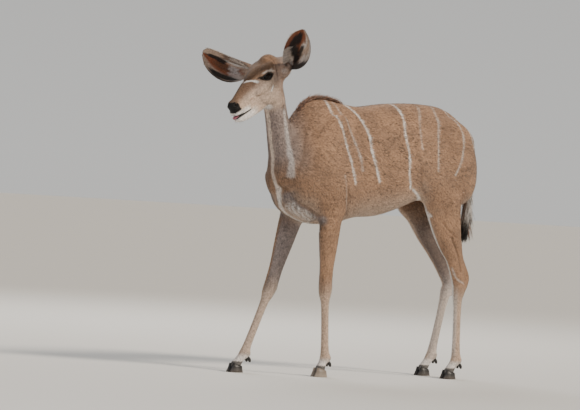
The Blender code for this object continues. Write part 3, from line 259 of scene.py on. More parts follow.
# Pale stripes of the flank: strength, then x and z from the back down
STRIPES = (
    (0.80, ((0.006, 1.240), (0.010, 1.170), (0.034, 1.095), (0.068, 0.985), (0.082, 0.927), (0.098, 0.874))),
    (0.35, ((0.049, 1.235), (0.066, 1.160), (0.102, 1.053), (0.124, 0.974), (0.129, 0.934))),
    (0.95, ((0.108, 1.240), (0.148, 1.185), (0.175, 1.090), (0.176, 1.026), (0.203, 0.933), (0.219, 0.889))),
    (0.95, ((0.384, 1.255), (0.380, 1.185), (0.363, 1.100), (0.376, 1.020), (0.380, 0.933), (0.403, 0.868))),
    (0.30, ((0.515, 1.240), (0.473, 1.176), (0.457, 1.117), (0.457, 1.050))),
    (0.42, ((0.616, 1.255), (0.590, 1.190), (0.570, 1.100), (0.565, 1.030), (0.567, 0.954))),
    (0.50, ((0.684, 1.250), (0.690, 1.190), (0.711, 1.120), (0.711, 1.040), (0.689, 0.968), (0.677, 0.941))),
    (0.60, ((0.745, 1.215), (0.765, 1.150), (0.790, 1.090), (0.811, 1.060))),
)
STRIPE_HALF = 0.0042
# The right side isn't seen; its stripes lie this far ahead of the left ones or behind them
STRIPE_SHIFT = 0.014
# Folds and grooves of the skin in the side view: side of the body (0 for both), depth, half width, then
# x and z along each
FOLDS = (
    (0, 0.0060, 0.016, ((-0.140, 1.097), (-0.157, 1.012), (-0.168, 0.967), (-0.197, 0.913))),
    (0, 0.0070, 0.011, ((-0.221, 0.840), (-0.163, 0.780), (-0.100, 0.754), (-0.050, 0.722))),
    (-1, 0.0050, 0.012, ((-0.066, 0.729), (-0.044, 0.694), (-0.047, 0.659))),
    (-1, 0.0040, 0.010, ((0.060, 0.850), (0.076, 0.777), (0.104, 0.735))),
    (0, 0.0040, 0.009, ((-0.268, 1.317), (-0.263, 1.251), (-0.245, 1.185), (-0.225, 1.141))),
    (0, 0.0030, 0.014, ((0.455, 0.960), (0.470, 0.900), (0.520, 0.850))),
    (-1, 0.0065, 0.008, ((0.691, 0.651), (0.732, 0.588), (0.757, 0.542), (0.771, 0.496))),
    (-1, 0.0030, 0.005, ((0.632, 0.718), (0.675, 0.678), (0.722, 0.652))),
)
# Painted lines in the side view: mark, strength, half width, side of the body, then x and z along each
LINES = (
    ("white", 0.40, 0.011, -1, ((-0.240, 1.180), (-0.233, 1.114), (-0.219, 1.008), (-0.213, 0.951),
                                (-0.217, 0.893))),
    ("white", 0.95, 0.014, 0, ((-0.334, 1.184), (-0.306, 1.199))),
    ("white", 0.45, 0.009, 0, ((-0.302, 1.305), (-0.300, 1.262), (-0.306, 1.225))),
    # Painted highlight: the lit rear edge of the near arm, beside its fold
    ("white", 0.16, 0.004, -1, ((0.034, 0.911), (0.044, 0.845), (0.062, 0.777), (0.090, 0.735))),
    # Painted highlight: light caught on the ridge above the near hock
    ("white", 0.35, 0.004, -1, ((0.722, 0.513), (0.750, 0.463), (0.795, 0.441))),
    ("white", 0.80, 0.006, -1, ((0.425, 0.861), (0.500, 0.828), (0.540, 0.790), (0.575, 0.745))),
    ("grey", 0.95, 0.026, 0, ((-0.205, 0.800), (-0.165, 0.752), (-0.110, 0.726), (-0.055, 0.700))),
)
# Broken white of the brisket, x and z along it
BRISKET = ((-0.180, 0.760), (-0.148, 0.738), (-0.110, 0.724), (-0.060, 0.704))
# White spots of each side of the face: strength, place, radii
FACE_SPOTS = (
    (0.45, (0.106, 0.062, 0.008), (0.018, 0.014, 0.006)),
    (0.95, (0.200, 0.018, -0.136), (0.030, 0.028, 0.018)),
    (0.15, (0.048, 0.078, -0.042), (0.014, 0.016, 0.014)),
)

# Short coat. A real hair is about 0.1 mm wide, and many lie together in each of these tufts. They and the
# locks of one tone are coarser than in life, so that the lie of the coat shows from the photograph's place.
LOCK_WIDTH = 0.0042
LOCK_LENGTH = 0.0150
LOCK_TONE = 0.75
# Depth of the roots under the skin, of tufts and of longer hairs
TUFT_ROOT = 0.0006
HAIR_ROOT = 0.001
# What is left of a tuft's full width
TUFT_SLIM = 0.62
# Most tufts in one piece, of four triangles each, which keeps it under 200 000 triangles
TUFT_LIMIT = 48500
# Long hairs: in all, for each ear, for each eye
MANE_HAIRS, NAPE_HAIRS, CREST_HAIRS, TAIL_HAIRS, WHISKERS = 2000, 900, 2600, 3400, 150
EAR_HAIRS = 620
EYE_LASHES = 60
# Lowest place that the tail's hair reaches
TAIL_HAIR_END = 0.622

# Sizes of the patterns in metres. Patches and scuffs are as in life. Flecks and strands stand for hairs of
# 0.1 mm, and horn rings for growth rings of about 3 mm: both are coarser than real, so that they show.
FAWN_PATCH = 0.110
HAIR_FLECK = 0.009
HAIR_STRAND = 0.0025
HORN_RING = 0.018
HORN_SCUFF = 0.006
SKIN_GRAIN = 0.002
# Order of a quad's corners that turns its face over
TURNED = (0, 3, 2, 1)
MARKS = ("white", "black", "grey", "dark", "rust", "pale")


def smooth_rows(knots, steps):
    """Rows of numbers resampled along a smooth curve that passes through every knot."""
    rows = [np.array(knot, float) for knot in knots]
    rows = [2 * rows[0] - rows[1]] + rows + [2 * rows[-1] - rows[-2]]
    result = []
    for before, start, end, after in zip(rows, rows[1:], rows[2:], rows[3:]):
        leave, arrive = (end - before) / 2, (after - start) / 2
        for t in np.arange(steps) / steps:
            result.append((2 * t ** 3 - 3 * t ** 2 + 1) * start + (t ** 3 - 2 * t ** 2 + t) * leave
                          + (3 * t ** 2 - 2 * t ** 3) * end + (t ** 3 - t ** 2) * arrive)
    result.append(rows[-2])
    return np.array(result)


def ramp(low, high, value):
    """0 below low, 1 above high and smooth between them; low may be the larger."""
    t = np.clip((value - low) / (high - low), 0, 1)
    return t * t * (3 - 2 * t)


def unit(vectors):
    """Vectors with their length set to 1."""
    return vectors / (np.linalg.norm(vectors, axis=-1, keepdims=True) + 1e-12)


def along_axes(x, y, z, origin, axes):
    """Places of a block's points along each axis from an origin."""
    dx, dy, dz = x - origin[0], y - origin[1], z - origin[2]
    return [dx * axis[0] + dy * axis[1] + dz * axis[2] for axis in axes]


class Flesh:
    """Distances to the skin on a grid of points, negative inside. Each addition melts into the rest."""

    def __init__(self, low, high, step):
        self.low = np.array(low, float)
        self.step = step
        counts = np.ceil((np.array(high) - self.low) / step).astype(int) + 1
        self.value = np.full(counts, FIELD_FAR, np.float32)

    def block(self, low, high):
        """The slices of the grid that hold a box, and the coordinates of their points."""
        low, high = ((np.array(corner) - self.low) / self.step for corner in (low, high))
        first = np.clip(np.floor(low).astype(int), 0, self.value.shape)
        last = np.clip(np.ceil(high).astype(int) + 1, 0, self.value.shape)
        spans = [(np.arange(first[k], last[k]) * self.step + self.low[k]).astype(np.float32)
                 for k in range(3)]
        x, y, z = np.meshgrid(*spans, indexing="ij", sparse=True)
        return tuple(slice(first[k], last[k]) for k in range(3)), x, y, z

    def melt(self, region, distance, blend):
        """Adds a shape, with a fillet of about the blend's width where it meets the rest."""
        old = self.value[region]
        closeness = np.clip(blend - np.abs(old - distance), 0, None) / blend
        self.value[region] = np.minimum(old, distance) - closeness ** 2 * blend / 4

    def carve(self, region, distance, blend):
        """Takes a shape away, with a rounded edge of about the blend's width."""
        old = self.value[region]
        closeness = np.clip(blend - np.abs(old + distance), 0, None) / blend
        self.value[region] = np.maximum(old, -distance) + closeness ** 2 * blend / 4

    def ellipsoid(self, centre, radii, axes, blend):
        """The block round an ellipsoid and the distances to it."""
        centre = np.array(centre, float)
        reach = max(radii) + blend + 2 * self.step
        region, x, y, z = self.block(centre - reach, centre + reach)
        norm = 1e-9
        square = 0
        for radius, along in zip(radii, along_axes(x, y, z, centre, axes)):
            norm = norm + (along / radius) ** 2
            square = square + along ** 2
        return region, np.sqrt(square) * (1 - norm ** -0.5)

    def mass(self, centre, radii, axes, blend):
        """Adds an ellipsoid with its radii along three given directions."""
        region, distance = self.ellipsoid(centre, radii, axes, blend)
        self.melt(region, distance, blend)

    def sections(self, origin, axes, knots, end, blend):
        """Upright sections along an axis, rounded off past both ends over the given length."""
        rows = smooth_rows(knots, SHAPE_STEPS)
        origin = np.array(origin, float)
        corners = [origin + row[0] * axes[0] + side * axes[1] + height * axes[2]
                   for row in rows for side in (-row[4], row[4]) for height in (row[1], row[2])]
        margin = end + blend + 2 * self.step
        region, x, y, z = self.block(np.min(corners, 0) - margin, np.max(corners, 0) + margin)
        along, side, up = np.broadcast_arrays(*along_axes(x, y, z, origin, axes))
        columns = [np.interp(along, rows[:, 0], rows[:, k]).astype(np.float32) for k in range(1, 7)]
        bottom, top, widest, half, above, below = columns
        past = np.clip(np.maximum(rows[0, 0] - along, along - rows[-1, 0]), 0, None)
        rise = up - widest
        reach = np.where(rise > 0, top - widest, widest - bottom)
        power = np.where(rise > 0, above, below)
        norm = (np.abs(side) / half) ** power + (np.abs(rise) / reach) ** power + (past / end) ** power
        norm = norm ** (1 / power) + 1e-6
        self.melt(region, np.sqrt(side ** 2 + rise ** 2 + past ** 2) * (1 - 1 / norm), blend)

    def limb(self, knots, blend):
        """A smooth limb in an upright plane: x, y, z, half depth and half width at each knot."""
        rows = smooth_rows(knots, SHAPE_STEPS)
        reach = rows[:, 3:5].max() + blend + 2 * self.step
        region, x, y, z = self.block(rows[:, :3].min(0) - reach, rows[:, :3].max(0) + reach)
        nearest = np.full(np.broadcast_shapes(x.shape, y.shape, z.shape), FIELD_FAR, np.float32)
        for start, end in zip(rows, rows[1:]):
            reach = max(start[3:5].max(), end[3:5].max()) + blend + 2 * self.step
            corners = np.minimum(start[:3], end[:3]) - reach, np.maximum(start[:3], end[:3]) + reach
            part, x, y, z = self.block(*corners)
            inner = tuple(slice(p.start - r.start, p.stop - r.start) for p, r in zip(part, region))
            length = np.linalg.norm(end[:3] - start[:3])
            axis = (end[:3] - start[:3]) / length
            dx, dy, dz = x - start[0], y - start[1], z - start[2]
            t = np.clip((dx * axis[0] + dy * axis[1] + dz * axis[2]) / length, 0, 1)
            dx, dy, dz = (d - t * length * a for d, a in zip((dx, dy, dz), axis))
            depth = start[3] + t * (end[3] - start[3])
            width = start[4] + t * (end[4] - start[4])
            past = dx * axis[0] + dy * axis[1] + dz * axis[2]
            sideways = dy - past * axis[1]
            square = dx ** 2 + dy ** 2 + dz ** 2
            fore = np.clip(square - past ** 2 - sideways ** 2, 0, None)
            norm = fore / depth ** 2 + (sideways ** 2 + past ** 2) / width ** 2 + 1e-9
            nearest[inner] = np.minimum(nearest[inner], np.sqrt(square) * (1 - norm ** -0.5))
        self.melt(region, nearest, blend)

    def sample(self, points):
        """Distances and their slopes at any points, from the eight grid points round each."""
        place = (points - self.low) / self.step
        cell = np.clip(np.floor(place).astype(int), 0, np.array(self.value.shape) - 2)
        t = place - cell
        corner = {}
        for i, j, k in np.ndindex(2, 2, 2):
            corner[i, j, k] = self.value[cell[:, 0] + i, cell[:, 1] + j, cell[:, 2] + k]
        share = [(1 - t[:, k], t[:, k]) for k in range(3)]
        value = sum(held * share[0][i] * share[1][j] * share[2][k] for (i, j, k), held in corner.items())
        slope = np.zeros_like(points)
        for i, j in np.ndindex(2, 2):
            slope[:, 0] += (corner[1, i, j] - corner[0, i, j]) * share[1][i] * share[2][j]
            slope[:, 1] += (corner[i, 1, j] - corner[i, 0, j]) * share[0][i] * share[2][j]
            slope[:, 2] += (corner[i, j, 1] - corner[i, j, 0]) * share[0][i] * share[1][j]
        return value, slope / self.step

    def skin(self):
        """Points and quads of the surface, drawn onto it."""
        value = self.value
        for k in range(3):
            ends = [slice(None)] * 3
            for end in (0, -1):
                ends[k] = end
                value[tuple(ends)] = FIELD_FAR
        cells = np.array(value.shape) - 1
        inside = value < 0
        count = np.zeros(cells, np.int8)
        for i, j, k in np.ndindex(2, 2, 2):
            count += inside[i:i + cells[0], j:j + cells[1], k:k + cells[2]]
        crossed = (count > 0) & (count < 8)
        cell = np.argwhere(crossed)
        number = np.full(cells, -1)
        number[crossed] = np.arange(len(cell))
        total = np.zeros((len(cell), 3))
        hits = np.zeros((len(cell), 1))
        steps = np.eye(3, dtype=int)
        for axis in range(3):
            first, second = steps[(axis + 1) % 3], steps[(axis + 2) % 3]
            for a, b in np.ndindex(2, 2):
                start = cell + a * first + b * second
                near = value[tuple(start.T)]
                far = value[tuple((start + steps[axis]).T)]
                crosses = (near < 0) != (far < 0)
                fraction = np.where(crosses, near / np.where(crosses, near - far, 1), 0)
                total += (start + fraction[:, None] * steps[axis]) * crosses[:, None]
                hits += crosses[:, None]
        points = self.low + self.step * total / hits
        quads = []
        for axis in range(3):
            first, second = steps[(axis + 1) % 3], steps[(axis + 2) % 3]
            edge = np.argwhere(inside != np.roll(inside, -1, axis))
            keep = edge[:, axis] < cells[axis]
            for other in ((axis + 1) % 3, (axis + 2) % 3):
                keep &= (edge[:, other] > 0) & (edge[:, other] < cells[other])
            edge = edge[keep]
            ring = (edge - first - second, edge - second, edge, edge - first)
            quad = np.stack([number[tuple(corner.T)] for corner in ring], 1)
            entering = ~inside[tuple(edge.T)]
            quad[entering] = quad[entering][:, ::-1]
            quads.append(quad)
        for _ in range(2):
            distance, slope = self.sample(points)
            steep = (slope ** 2).sum(1)
            points -= slope * np.clip(distance / (steep + 0.05), -self.step, self.step)[:, None]
        return points, np.concatenate(quads)


def plane_axes(x, z):
    """Three directions: one given in the upright plane, one across it in that plane, one sideways."""
    along = unit(np.array((x, 0.0, z)))
    return along, np.cross(along, (0.0, 1.0, 0.0)), np.array((0.0, 1.0, 0.0))


def free_axes(aim):
    """Three directions at right angles, the first one given."""
    aim = Vector(aim).normalized()
    side = aim.orthogonal().normalized()
    return np.array(aim), np.array(side), np.array(aim.cross(side))


ALONG = np.array((-math.cos(HEAD_PITCH) * math.cos(HEAD_TURN), -math.cos(HEAD_PITCH) * math.sin(HEAD_TURN),
                  -math.sin(HEAD_PITCH)))
LEFT = np.array((math.sin(HEAD_TURN), -math.cos(HEAD_TURN), 0.0))
UP = np.cross(ALONG, LEFT)
HEAD_AXES = np.array((ALONG, LEFT, UP))


def head_point(along, left, up):
    """A point given in the head's own directions from the poll."""
    return POLL + ALONG * along + LEFT * left + UP * up


def mirrored(place, side):
    """A place in the head, on the left for 1 and on the right for -1."""
    return head_point(place[0], side * place[1], place[2])


def in_head(points):
    """Places along, to the side and up in the head's own directions."""
    return (points - POLL) @ HEAD_AXES.T


def above_cut(points):
    """Height over the plane through the throat where head and neck meet."""
    return (points - HEAD_CUT_POINT) @ HEAD_CUT_UP


def limb_knots(leg, girth):
    """Knots of a leg: its girths set along the broken line of its joints."""
    y, joints = STANCE[leg]
    knots = []
    for place, depth, width in girth:
        bone = min(max(int(place), 0), 2)
        t = place - bone
        (x0, z0), (x1, z1) = joints[bone], joints[bone + 1]
        knots.append((x0 + t * (x1 - x0), y, z0 + t * (z1 - z0), depth, width))
    return knots


def add_trunk(flesh):
    """Trunk with the muscles of the shoulders, thighs and croup."""
    flesh.sections((0, 0, 0), np.eye(3), TRUNK, TRUNK_END, 0.02)
    for x, y, z, aim, radii in MUSCLES:
        for side in (-1, 1):
            flesh.mass((x, side * y, z), radii, plane_axes(*aim), MUSCLE_BLEND)


def add_neck(flesh):
    """Neck from behind the jaw down into the chest."""
    flesh.limb([(x, 0.0, z, depth, width) for x, z, depth, width in NECK], NECK_BLEND)


def add_foreleg(flesh, leg):
    """A foreleg down to the top of the hoof, with the bone behind its knee."""
    y, (elbow, knee, *_) = STANCE[leg]
    flesh.limb(limb_knots(leg, FORELEG_GIRTH), LEG_BLEND)
    flesh.mass((knee[0] + 0.018, y, knee[1] - 0.006), (0.030, 0.016, 0.013),
               plane_axes(elbow[0] - knee[0], elbow[1] - knee[1]), 0.015)


def add_hindleg(flesh, leg):
    """A hind leg down to the top of the hoof, with the heel bone, its tendon and the web before it."""
    y, (stifle, hock, *_) = STANCE[leg]
    flesh.limb(limb_knots(leg, HINDLEG_GIRTH), LEG_BLEND)
    (x, z), aim, radii = GASKIN[leg]
    flesh.mass((x, y, z), radii, plane_axes(*aim), GASKIN_BLEND)
    point = (hock[0] + HOCK_POINT[0], hock[1] + HOCK_POINT[1])
    calf = ((stifle[0] + hock[0]) / 2 + 0.042, (stifle[1] + hock[1]) / 2)
    middle = ((point[0] + calf[0]) / 2 - 0.003, (point[1] + calf[1]) / 2)
    heel = (hock[0] + 0.024, hock[1] - 0.055)
    tendon = ((*calf, 0.018, 0.015), (*middle, 0.012, 0.009), (*point, 0.013, 0.012),
              (point[0] - 0.010, point[1] - 0.045, 0.017, 0.015), (*heel, 0.012, 0.012))
    flesh.limb([(x, y, z, depth, width) for x, z, depth, width in tendon], TENDON_BLEND)
    web = ((middle[0] + hock[0]) / 2 - 0.002, y, (middle[1] + hock[1]) / 2 + 0.004)
    flesh.mass(web, (0.080, 0.030, 0.011), plane_axes(stifle[0] - hock[0], stifle[1] - hock[1]), 0.016)


def add_legs(flesh):
    """Four legs, each with the swelling behind its fetlock."""
    for leg, (y, joints) in STANCE.items():
        if leg.startswith("fore"):
            add_foreleg(flesh, leg)
        else:
            add_hindleg(flesh, leg)
        x, z = joints[2]
        flesh.mass((x + 0.012, y, z - 0.004), (0.018, 0.021, 0.018), plane_axes(0, 1), 0.014)


def add_head(flesh):
    """Skull, jaws, brows, cheeks, muzzle and the roots of the ears."""
    flesh.sections(POLL, HEAD_AXES, SKULL, MUZZLE_END, 0.02)
    down_jaw = unit(ALONG + UP * JAW_SLOPE)
    jaw_axes = (down_jaw, LEFT, np.cross(down_jaw, LEFT))
    for side in (-1, 1):
        for place, radii, blend in HEAD_MASSES:
            flesh.mass(mirrored(place, side), radii, HEAD_AXES, blend)
        flesh.mass(mirrored(JAW_BONE[0], side), JAW_BONE[1], jaw_axes, JAW_BONE[2])
    flesh.mass(head_point(*CHIN[0]), CHIN[1], jaw_axes, CHIN[2])
    for place, aim, *_ in EARS.values():
        flesh.mass(head_point(*place), EAR_ROOT, free_axes(aim), 0.03)


def eye_axes(side):
    """Directions of an eye: forward along its slit, up across it and outwards."""
    forward = ALONG * math.cos(EYE_TILT) + UP * math.sin(EYE_TILT)
    upward = UP * math.cos(EYE_TILT) - ALONG * math.sin(EYE_TILT)
    return forward, upward, LEFT * side


def lid_arch(t):
    """Height of a lid's edge along the slit, from 0 in the corners to 1."""
    return np.clip(np.sin(math.pi * t), 0, 1) ** 0.8


def almond(forward, height):
    """Distance across an eye's slit, negative within it, from places along and over it."""
    t = np.clip((LID_FRONT - forward) / (LID_FRONT - LID_REAR), 0, 1)
    arch = lid_arch(t)
    return np.maximum.reduce([height - LID_TOP * arch, LID_BOTTOM * arch - height,
                              forward - LID_FRONT, LID_REAR - forward])


def add_face(flesh):
    """Lids over the eyeballs, nostrils and the slit of the mouth."""
    for side in (-1, 1):
        centre = mirrored(EYE_PLACE, side)
        axes = eye_axes(side)
        flesh.mass(centre, [EYE_RADIUS + 0.0030] * 3, axes, 0.012)
        region, x, y, z = flesh.block(centre - 0.045, centre + 0.045)
        a, b, c = along_axes(x, y, z, centre, axes)
        flesh.carve(region, np.maximum(almond(a, b) + 0.001, 0.006 - c), 0.003)
        for place, radii in (NOSTRIL, NOSTRIL_SLIT):
            region, distance = flesh.ellipsoid(mirrored(place, side), radii, HEAD_AXES, 0.003)
            flesh.carve(region, distance, 0.003)
    rows = np.array(MOUTH)
    centre = head_point(0.32, 0.0, -0.055)
    region, x, y, z = flesh.block(centre - 0.075, centre + 0.075)
    s, _, h = np.broadcast_arrays(*along_axes(x, y, z, POLL, HEAD_AXES))
    low, high = (np.interp(s, rows[:, 0], rows[:, k]) for k in (1, 2))
    slot = np.maximum(np.abs(h - (low + high) / 2) - np.maximum((high - low) / 2, 0.0014), rows[0, 0] - s)
    depth = np.interp(s, (0.276, 0.310, 0.325), (0.0015, 0.0040, 0.0500))
    flesh.carve(region, np.maximum(slot, -flesh.value[region] - depth), 0.002)


def coat_depth(points):
    """Room that the coat takes over the skin: least on the face and legs."""
    face = ramp(-0.02, 0.12, in_head(points)[..., 0]) * ramp(-0.01, 0.03, above_cut(points))
    leg = ramp(0.78, 0.50, points[..., 2])
    return 0.0040 - 0.0026 * face - 0.0018 * leg


def fold_depth(points):
    """How far the skin is drawn in along its folds and grooves."""
    return sum(row[1] * fold for row, fold in zip(FOLDS, folds_at(points, 1.0)))


def folds_at(points, share):
    """How deep in each fold the points lie, from 0 to 1, the folds narrowed to a share of their width."""
    for side, _, half, knots in FOLDS:
        yield np.exp(-(from_curve(points, knots) / (share * half)) ** 2) * (points[:, 1] * side >= 0)


def inset(flesh):
    """Draws the field in by the coat's depth."""
    x, y, z = (np.arange(n) * flesh.step + flesh.low[k] for k, n in enumerate(flesh.value.shape))
    for i in range(len(x)):
        near = np.abs(flesh.value[i]) < 0.03
        j, k = np.nonzero(near)
        points = np.stack((np.full(len(j), x[i]), y[j], z[k]), -1)
        flesh.value[i, j, k] += coat_depth(points) + fold_depth(points)


def cut(shape, side):
    """Keeps what lies above the throat's plane for 1, or below it for -1."""
    offset = Vector(HEAD_CUT_POINT + HEAD_CUT_UP * (0.0015 * side))
    bmesh.ops.bisect_plane(shape, geom=shape.verts[:] + shape.edges[:] + shape.faces[:], plane_co=offset,
                           plane_no=Vector(HEAD_CUT_UP), clear_outer=side < 0, clear_inner=side > 0)


def make_hide():
    """Points and triangles of the whole skin, the head finer than the rest and knitted to it."""
    body = Flesh((-0.47, -0.25, -0.02), (0.96, 0.25, 1.50), BODY_GRID)
    add_trunk(body)
    add_neck(body)
    add_legs(body)
    add_head(body)
    body.limb([(x, 0.0, z, depth * 0.8, width * 0.8) for x, z, depth, width in TAIL], 0.012)
    inset(body)
    head = Flesh((-0.60, -0.16, 1.08), (-0.12, 0.16, 1.52), HEAD_GRID)
    add_neck(head)
    add_head(head)
    inset(head)
    add_face(head)
    whole = bmesh.new()
    for flesh, side in ((body, -1), (head, 1)):
        points, quads = flesh.skin()
        mesh = bpy.data.meshes.new("part")
        mesh.from_pydata(points, [], quads.tolist())
        shape = bmesh.new()
        shape.from_mesh(mesh)
        cut(shape, side)
        shape.to_mesh(mesh)
        shape.free()
        whole.from_mesh(mesh)
        bpy.data.meshes.remove(mesh)
    rim = [edge for edge in whole.edges if len(edge.link_faces) == 1
           and abs(above_cut(np.array(edge.verts[0].co))) < 0.004]
    bmesh.ops.bridge_loops(whole, edges=rim)
    bmesh.ops.triangulate(whole, faces=whole.faces[:])
    bmesh.ops.recalc_face_normals(whole, faces=whole.faces[:])
    mesh = bpy.data.meshes.new("hide")
    whole.to_mesh(mesh)
    whole.free()
    points = np.empty(len(mesh.vertices) * 3)
    mesh.vertices.foreach_get("co", points)
    faces = np.empty(len(mesh.polygons) * 3, np.int32)
    mesh.polygons.foreach_get("vertices", faces)
    bpy.data.meshes.remove(mesh)
    return points.reshape(-1, 3), faces.reshape(-1, 3)


def normals_of(points, faces):
    """Smooth normals at the points of a mesh of triangles."""
    a, b, c = (points[faces[:, k]] for k in range(3))
    across = np.cross(b - a, c - a)
    total = np.zeros_like(points)
    for k in range(3):
        for axis in range(3):
            total[:, axis] += np.bincount(faces[:, k], across[:, axis], len(points))
    return unit(total)


def ear_grid(which):
    """An ear's two faces: outer and inner points on a grid, with places along it and round its curl."""
    place, aim, cup, bow, length = EARS[which]
    root = head_point(*place)
    aim = unit(np.array(aim))
    cup = np.array(cup)
    cup = unit(cup - aim * cup.dot(aim))
    across = np.cross(aim, cup) * (1 if which == "left" else -1)
    curl = smooth_rows(EAR_CURL, SHAPE_STEPS)
    u, radius, angle = curl[:, 0], curl[:, 1] - EAR_INSET, np.radians(curl[:, 2])
    swell = np.sin(math.pi * u)
    middle = (root + aim * length * u[:, None] + cup * (radius - 0.019 - 0.016 * swell)[:, None]
              + np.array(bow) * swell[:, None])
    t = np.linspace(-1, 1, EAR_COLUMNS)
    turn = angle[:, None] * t
    out = across * np.sin(turn)[..., None] - cup * np.cos(turn)[..., None]
    wall = EAR_WALL * (1.3 - 0.6 * u)[:, None] * (1.02 - t ** 6)
    waves = 0.0006 * np.sin(26 * t) * np.sin(math.pi * np.clip(u, 0, 1))[:, None]
    outer = middle[:, None] + out * radius[:, None, None]
    reach = np.maximum(radius[:, None] - wall, radius[:, None] * 0.55) + waves
    inner = middle[:, None] + out * reach[..., None]
    return outer, inner, u, t


def grid_faces(rows, columns, start, flip):
    """Triangles of a grid of points."""
    i, j = np.meshgrid(np.arange(rows - 1), np.arange(columns - 1), indexing="ij")
    a = (start + i * columns + j).ravel()
    b, c, d = a + 1, a + columns + 1, a + columns
    faces = np.concatenate((np.stack((a, b, c), 1), np.stack((a, c, d), 1)))
    return faces[:, ::-1] if flip else faces


def ear_marks(which, place, turn):
    """Marks of an ear's outer face, then of its inner one, from places along it and round its curl."""
    inner = {name: np.zeros(len(place)) for name in MARKS}
    inner["grey"] += 0.35
    inner["pale"] += 0.55
    wave = 0.05 * np.sin(9 * place + 3) + 0.04 * np.sin(23 * turn)
    plane = np.stack((turn + wave, 0 * place, place + 0.02 * np.sin(31 * turn)), 1)
    for name, strength, half, knots in EAR_MARKS[which]:
        deepen(inner, name, strength * ramp(1.20 * half, 0.70 * half, from_curve(plane, knots)))
    if which == "left":
        # Pale hairs comb over its front edge
        comb = ramp(0.06, -0.06, turn + wave + 0.03 + 1.9 * (place - 0.21)) * ramp(0.56, 0.48, place)
        bars = 0.5 + 0.5 * np.sin(120 * place + 4 * turn)
        for name in ("rust", "black", "dark"):
            inner[name] *= 1 - comb
        deepen(inner, "white", comb * (0.15 + 0.40 * bars))
    else:
        # Its front edge, folded over in life, is only painted here: grey with a white rim
        past = turn + 0.02 + 0.26 * place
        fold = ramp(0.02, -0.06, past) * ramp(0.74, 0.66, place)
        for name in MARKS:
            inner[name] *= 1 - fold
        inner["dark"] += 0.45 * fold
        inner["grey"] += 0.5 * fold
        deepen(inner, "white", 0.85 * ramp(0.06, 0.02, np.abs(past)) * ramp(0.68, 0.62, place))
    outer = {name: np.zeros(len(place)) for name in MARKS}
    outer["grey"] += 0.45
    outer["dark"] += 0.40 + 0.4 * ramp(0.75, 1.0, place)
    outer["black"] += 0.90 * ramp(0.80, 0.96, np.abs(turn)) * ramp(0.15, 0.35, place)
    return {name: np.concatenate((outer[name], inner[name])) for name in MARKS}


def make_ear(which):
    """One ear, with all that its skin and coat need."""
    outer, inner, u, t = ear_grid(which)
    rows, columns = len(u), len(t)
    shift = rows * columns
    flip = which == "right"
    points = np.concatenate((outer.reshape(-1, 3), inner.reshape(-1, 3)))
    border = np.concatenate((
        np.arange(rows) * columns, (rows - 1) * columns + np.arange(1, columns),
        np.arange(rows - 2, -1, -1) * columns + columns - 1, np.arange(columns - 2, 0, -1)))
    after = np.roll(border, -1)
    edge = np.concatenate((np.stack((border, border + shift, after + shift), 1),
                           np.stack((border, after + shift, after), 1)))
    faces = np.concatenate((grid_faces(rows, columns, 0, flip), grid_faces(rows, columns, shift, not flip),
                            edge[:, ::-1] if flip else edge))
    a, b, c = (points[faces[:, k]] for k in range(3))
    if (np.cross(a, b) * c).sum() < 0:
        faces = faces[:, ::-1]
    normals = normals_of(points, faces)
    lie = np.tile(np.gradient(outer, axis=0).reshape(-1, 3), (2, 1))
    lie = unit(lie - normals * (lie * normals).sum(1)[:, None])
    place, turn = np.repeat(u, columns), np.tile(t, rows)
    return {"points": points, "faces": faces, "normals": normals, "lie": lie,
            "marks": ear_marks(which, place, turn), "length": np.full(len(points), 0.0062), "thick": 1.2,
            "place": np.tile(place, 2), "turn": np.tile(turn, 2)}


def from_curve(points, knots):
    """Distance in the side view from points to a smooth curve given in x and z."""
    rows = smooth_rows(knots, LINE_STEPS)
    nearest = np.full(len(points), 1.0)
    flat = points[:, (0, 2)]
    for start, end in zip(rows, rows[1:]):
        bone = end - start
        t = np.clip((flat - start) @ bone / (bone @ bone), 0, 1)
        nearest = np.minimum(nearest, np.linalg.norm(flat - start - t[:, None] * bone, axis=1))
    return nearest


def ripple(points, size, turn=0.0):
    """A slow irregular wave over the body, from -1 to 1, of about the given size in metres."""
    x, y, z = (points / size).T
    return (np.sin(x * 2.1 + turn) * np.cos(z * 1.7 - turn) + np.sin(y * 2.9 + z * 1.3 + 2 * turn)
            + np.sin(x * 1.1 - z * 2.3 + y + 1.7)) / 3


def spot(places, centre, radii):
    """1 inside an ellipsoid of the head, fading to 0 outside it."""
    return ramp(1.3, 0.6, np.linalg.norm((places - np.array(centre)) / radii, axis=1))


def deepen(marks, name, *amounts):
    """Raises a mark to each of the amounts wherever it is lower."""
    for amount in amounts:
        marks[name] = np.maximum(marks[name], amount)


